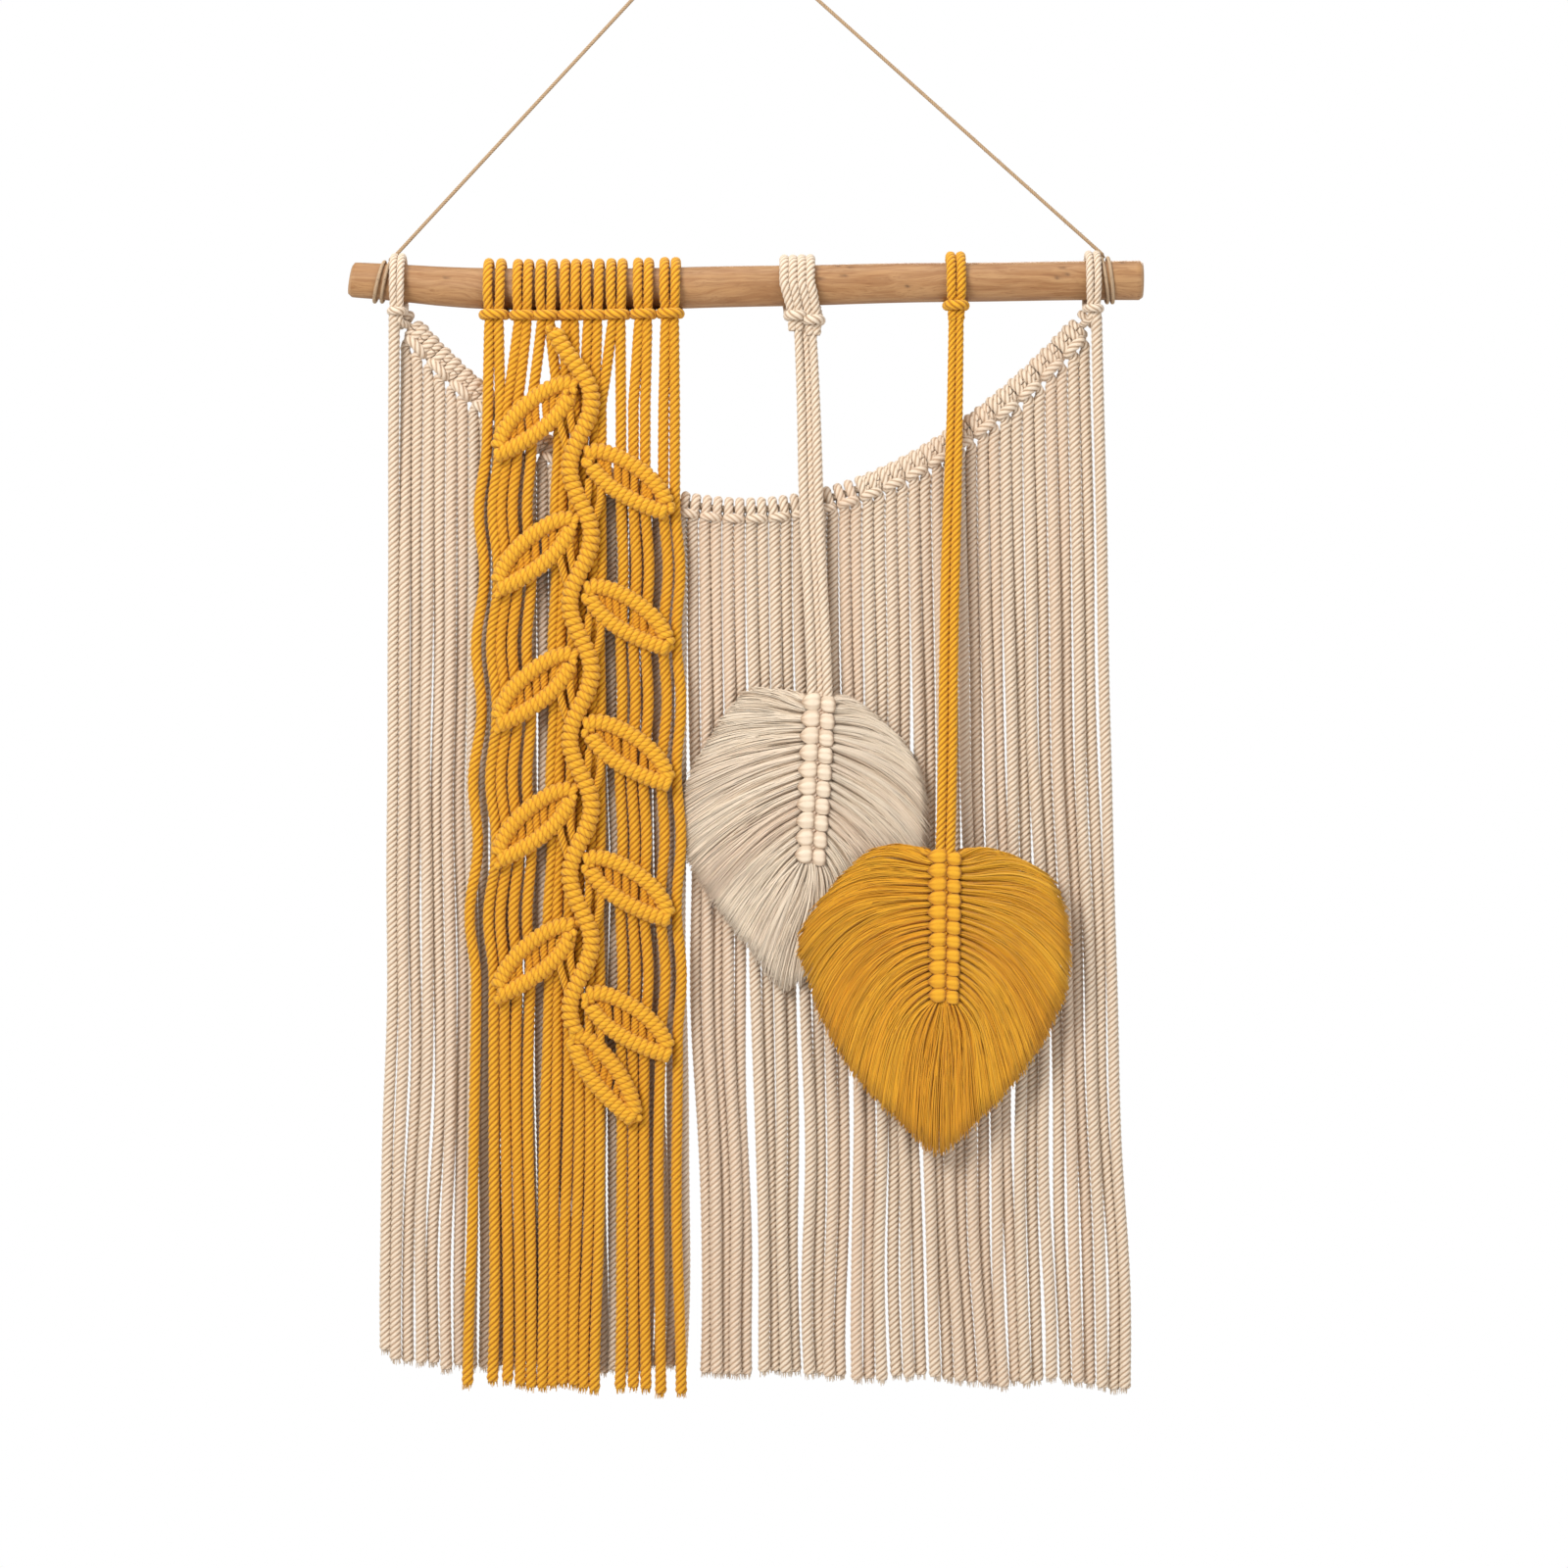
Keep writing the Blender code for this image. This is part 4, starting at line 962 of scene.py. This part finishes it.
def makeHanger(form, top):
    skein = Skein()
    start = np.array([form["ring"] * mm, -10.7 * mm, rodAxis[2] - 17 * mm])
    end = np.array([top[0], top[1] - 4.75 * mm, top[2] - 3 * mm])
    size = squeezed(cord * 0.98, cord * 0.80, -1.0, 0.38 * np.linalg.norm(end - start), 60 * mm)
    pinch = form["pinch"]
    for k, (offset, back) in enumerate(form["hangers"]):
        rows = []
        for step in range(13):
            share = step / 12
            spread = (pinch + (1 - pinch) * min(1, share * 2.2)) * (1 - 0.06 * sin(pi * share))
            point = start + (end - start) * share
            point[0] += (offset * spread + 0.3 * sin(share * 9)) * mm
            point[1] += (back + 0.3 * sin(share * 7 + k)) * mm
            rows.append(tuple(point))
        # a strand set further back gets a lower tone: painted shade
        addRope(skein, rows, size, 0.9 - 0.2 * (back > 1), 0.7 * k, 12.5 * mm)
    buildPart(skein, form, "PendantHanger", "leaf", "pendant_hanger")

# one smooth wrapped bump of the braided spine; half is its size in millimetres, point its taper to one side
def addPillow(skein, centre, half, tone, seed, point=0.0, lean=0.0):
    rings, sides = 17, 24
    share = np.cos(np.linspace(pi, 0, rings))
    size = np.clip(1 - np.abs(share)**4.5, 0, 1)**0.55
    size = np.maximum(size * np.where(share < 0, 1 - point * np.abs(share)**1.6, 1.0), 0.02)
    turn = 2 * pi * np.arange(sides) / sides
    square = (np.abs(np.cos(turn))**5 + np.abs(np.sin(turn))**5)**-0.2
    share = share[:, None]
    groove = 1 + 0.045 * np.cos(turn * 8 + seed) + 0.02 * np.cos(turn * 5 + share * 3)
    rise = (square * np.cos(turn)) * size[:, None] * groove
    front = np.sin(turn) * size[:, None] * groove
    points = stacked(centre[0] + half[0] * mm * share, centre[1] - half[1] * mm * front,
                     centre[2] + half[2] * mm * rise + lean * mm * share)
    fibre = stacked(rise * 3.2 + seed, front * 3.2, share * half[0])
    # painted shade: each bump is lighter where it faces forward, darker on its sides and ends, and darker in
    # the grooves between its wraps
    ridge = 0.25 + 0.55 * front + 0.16 * np.cos(turn * 8 + seed) - 0.25 * np.abs(share)**3
    skein.tube(points, fibre, np.clip(ridge, 0.05, 1), tone)


def makeSpine(form, top):
    skein = Skein()
    random = np.random.default_rng(form["seed"])
    rows, length, lean = form["rows"], form["length"], form["lean"]
    pitch = length / rows
    for k in range(rows):
        share = (k + 0.5) / rows
        cx = top[0] + lean * share * mm
        cz = top[2] - share * length * mm
        narrow = 1 - 0.10 * share**3
        left = (cx - 3.9 * narrow * mm, top[1] - 4.7 * mm, cz + 0.03 * pitch * mm)
        right = (cx + 4.3 * narrow * mm, top[1] - 4.4 * mm, cz - 0.14 * pitch * mm)
        for place, half, point, tilt in ((left, (5.1 * narrow, 3.0, 0.53 * pitch), 0.7, 0.25),
                                         (right, (4.0 * narrow, 3.2, 0.50 * pitch), 0.25, -0.35)):
            addPillow(skein, place, half, random.uniform(0.7, 1.0), random.uniform(0, 6), point, tilt)
    # the cores behind the bumps get a low tone: painted shade
    core = [(top[0] + lean * s / 8 * mm, top[1] - 3.4 * mm, top[2] - s / 8 * length * mm) for s in range(9)]
    for offset in (-3.4, 0.0, 3.4):
        addRope(skein, [(x + offset * mm, y, z) for x, y, z in core], 2.3 * mm, 0.1, offset, 9 * mm)
    buildPart(skein, form, "LeafSpine", "leaf", "leaf_spine")


def bezier(a, b, c, d, t):
    t = t[None, :, None]
    a, b, c, d = (p[:, None, :] for p in (a, b, c, d))
    return a * (1 - t)**3 + 3 * b * (1 - t)**2 * t + 3 * c * (1 - t) * t**2 + d * t**3


fringeForm = {"fibres": 2600, "steps": 13, "radius": 0.36, "thick": 5.6, "rimThick": 2.6, "tail": 0.20,
              "ragged": 0.015, "short": 0.06, "lockTone": 0.28, "yarnTone": 0.25}


# one half of a leaf: combed yarns that fan out from the spine's edge and its foot to the rim
def makeFringe(form, top, side, k):
    random = np.random.default_rng(form["seed"] * 10 + side)
    width, length = form["size"]
    count, tail = fringeForm["fibres"], fringeForm["tail"]
    edge, _ = curveThrough([(u * width, 0, -v * length) for u, v in form["rims"][k]], 0.5)
    place = (np.arange(count) + random.uniform(0, 1, count)) / count
    random.shuffle(place)
    down = np.clip(place / (1 - tail), 0, 1)
    under = np.clip((place - 1 + tail) / tail, 0, 1)
    half = form["spineHalf"] - 1.6
    x0 = form["lean"] * down + side * (half * (1 - under) - 1.2 * random.uniform(0, 1, count) * (under > 0.6))
    z0 = -form["length"] * (0.015 + 0.985 * down) + 2.2 * under * (2 - under)
    start = stacked(x0, 0, z0)
    goal, leaving, arriving = (np.interp(place, form["stations"], form[key][k])
                               for key in ("fans", "leaves", "arrivals"))
    goal = np.clip(goal + random.normal(0, 0.010, count), 0, 1)
    index = goal * (len(edge) - 1)
    end = stacked(*(np.interp(index, np.arange(len(edge)), edge[:, a]) for a in range(3)))
    ragged = (1 + random.normal(0, fringeForm["ragged"], count)
              - fringeForm["short"] * (random.uniform(0, 1, count) > 0.94))
    end[:, 0] *= ragged
    end[:, 0] += random.normal(0, 1.5, count) * np.clip(place * 8 - 6.6, 0, 1)
    end[:, 2] = -form["length"] * 0.5 + (end[:, 2] + form["length"] * 0.5) * ragged
    gap = np.linalg.norm(end - start, axis=1)
    out, back = (stacked(sign * side * np.cos(turn), 0, sign * np.sin(turn))
                 for sign, turn in ((1, np.radians(leaving)), (-1, np.radians(arriving))))
    leave = start + out * (gap * form["handles"][0])[:, None]
    arrive = end + back * (gap * form["handles"][1])[:, None]
    t = np.linspace(0, 1, fringeForm["steps"])
    routes = bezier(start, leave, arrive, end, t)
    # the yarns lie side by side near the spine, and loosen into locks towards the rim
    yarns, locks = place * form["yarns"], place * form["locks"]
    yarn = np.floor(yarns)
    lock = np.floor(locks + 0.35 * np.sin(yarn * 2.3))
    off, lockOff = (np.abs(shares - np.floor(shares) - 0.5) * 2 for shares in (yarns, locks))
    sway = np.sin(yarn * 4.1)[:, None] * np.sin(pi * t) * 0.55
    stray = random.normal(0, 0.16, (count, 1)) * np.sin(t * 9 + 1) * t
    across = stacked(-out[:, 2], 0, out[:, 0])
    routes = routes + across[:, None, :] * (sway + stray)[:, :, None]
    depth = random.uniform(0, 1, count)
    bulk = fringeForm["thick"] + (fringeForm["rimThick"] - fringeForm["thick"]) * t
    near = np.clip(1.15 - 1.1 * t, 0.12, 1)
    groove = off[:, None]**2.2 * near + 0.75 * lockOff[:, None]**3 * np.clip(t * 1.6, 0, 1)
    groove = np.clip(groove, 0, 1)
    high = depth[:, None] * (1 - 0.72 * groove)
    routes[:, :, 1] = -0.35 - high * (bulk - 0.7)
    routes *= mm
    routes += np.array(top)
    thin = 1 - 0.30 * t**2
    radii = fringeForm["radius"] * mm * thin * random.uniform(0.75, 1.25, count)[:, None]
    tones = (form["tone"] + fringeForm["yarnTone"] * np.sin(yarn * 12.9898)
             + fringeForm["lockTone"] * np.sin(lock * 7.7) + random.normal(0, 0.12, count))
    # painted shade: fibres lying further back and in the grooves between yarns and locks get a lower ridge,
    # so the darker colour
    ridges = (0.80 + 0.20 * depth[:, None] - 0.62 * groove - 0.25 * (depth[:, None] <= 0.45)
              + 0.10 * random.normal(0, 1, (count, 1)))
    skein = Skein()
    addHairs(skein, routes, radii, np.clip(tones, 0, 1), np.clip(ridges, 0.03, 1))
    word = "Left" if side < 0 else "Right"
    buildPart(skein, form, f"LeafFringe{word}", "leaf", f"leaf_fringe_{word.lower()}")


def makePendant(form):
    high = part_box(f"{form['colour']}_leaf_spine")[1]
    top = (form["middle"] * mm, high[1], high[2])
    makeHeads(form)
    makeHanger(form, top)
    makeSpine(form, top)
    for k, side in enumerate((-1, 1)):
        makeFringe(form, top, side, k)


makePendant(whitePendant)
makePendant(goldPendant)
print("stage 9: pendants made")


# floor, light and surroundings; a light is its place, its size, its energy and its colour
stageForm = {
    "floor": -1.25, "radius": 1.5, "sides": 96, "middle": (0.02, -0.01, -0.45), "room": 0.52,
    "lights": {"keyLight": ((-0.9, -1.6, 0.45), 0.9, 34.0, (1.0, 0.97, 0.93)),
               "fillLight": ((1.3, -1.5, -0.2), 1.2, 8.0, (1, 1, 1)),
               "backLight": ((0.6, 1.6, 0.4), 1.2, 22.0, (1, 1, 1)),
               "topLight": ((0.0, -0.2, 1.2), 0.9, 10.0, (1, 1, 1))},
}


def makeFloor(form):
    mesh = bpy.data.meshes.new("paleFloor")
    turns = [2 * pi * k / form["sides"] for k in range(form["sides"])]
    mesh.from_pydata([(0.03 + form["radius"] * cos(turn), form["radius"] * sin(turn), form["floor"])
                      for turn in turns], [], [list(range(form["sides"]))])
    made, w, shader = newMaterial("paleFloor")
    cloud = w.noise(w.node("ShaderNodeTexCoord", {}, {}, 3), (2.0, 2.0, 2.0))
    plug(w, shader, Base_Color=w.colour(cloud * 0.4, (0.82, 0.81, 0.80, 1), (0.78, 0.77, 0.76, 1)))
    shader.inputs["Roughness"].default_value = 0.9
    mesh.materials.append(made)
    floor = bpy.data.objects.new("paleFloor", mesh)
    bpy.context.scene.collection.objects.link(floor)


def areaLight(name, target, place, size, energy, colour):
    data = bpy.data.lights.new(name, "AREA")
    data.shape = "DISK"
    data.size = size
    data.energy = energy
    data.color = colour
    light = bpy.data.objects.new(name, data)
    light.location = place
    away = np.array(target) - np.array(place)
    flat = hypot(away[0], away[1])
    light.rotation_euler = (atan2(flat, -away[2]), 0, atan2(-away[0], away[1]))
    bpy.context.scene.collection.objects.link(light)


def makeWorld(form):
    world = bpy.data.worlds.new("softRoom")
    world.use_nodes = True
    tree = world.node_tree
    tree.nodes.clear()
    w = Wire(tree)
    seen = w.node("ShaderNodeLightPath")
    room = w.node("ShaderNodeBackground", {}, {"Color": (1.0, 0.985, 0.96, 1), "Strength": form["room"]})
    plain = w.node("ShaderNodeBackground", {}, {"Color": (1, 1, 1, 1), "Strength": 1.0})
    both = w.node("ShaderNodeMixShader", {}, {0: seen, 1: room, 2: plain})
    w.node("ShaderNodeOutputWorld", {}, {"Surface": both})
    bpy.context.scene.world = world
    bpy.context.scene.view_settings.view_transform = "Standard"


makeFloor(stageForm)
for name, light in stageForm["lights"].items():
    areaLight(name, stageForm["middle"], *light)
makeWorld(stageForm)
print("stage 10: stage lit")

print("cords", cordNotes)
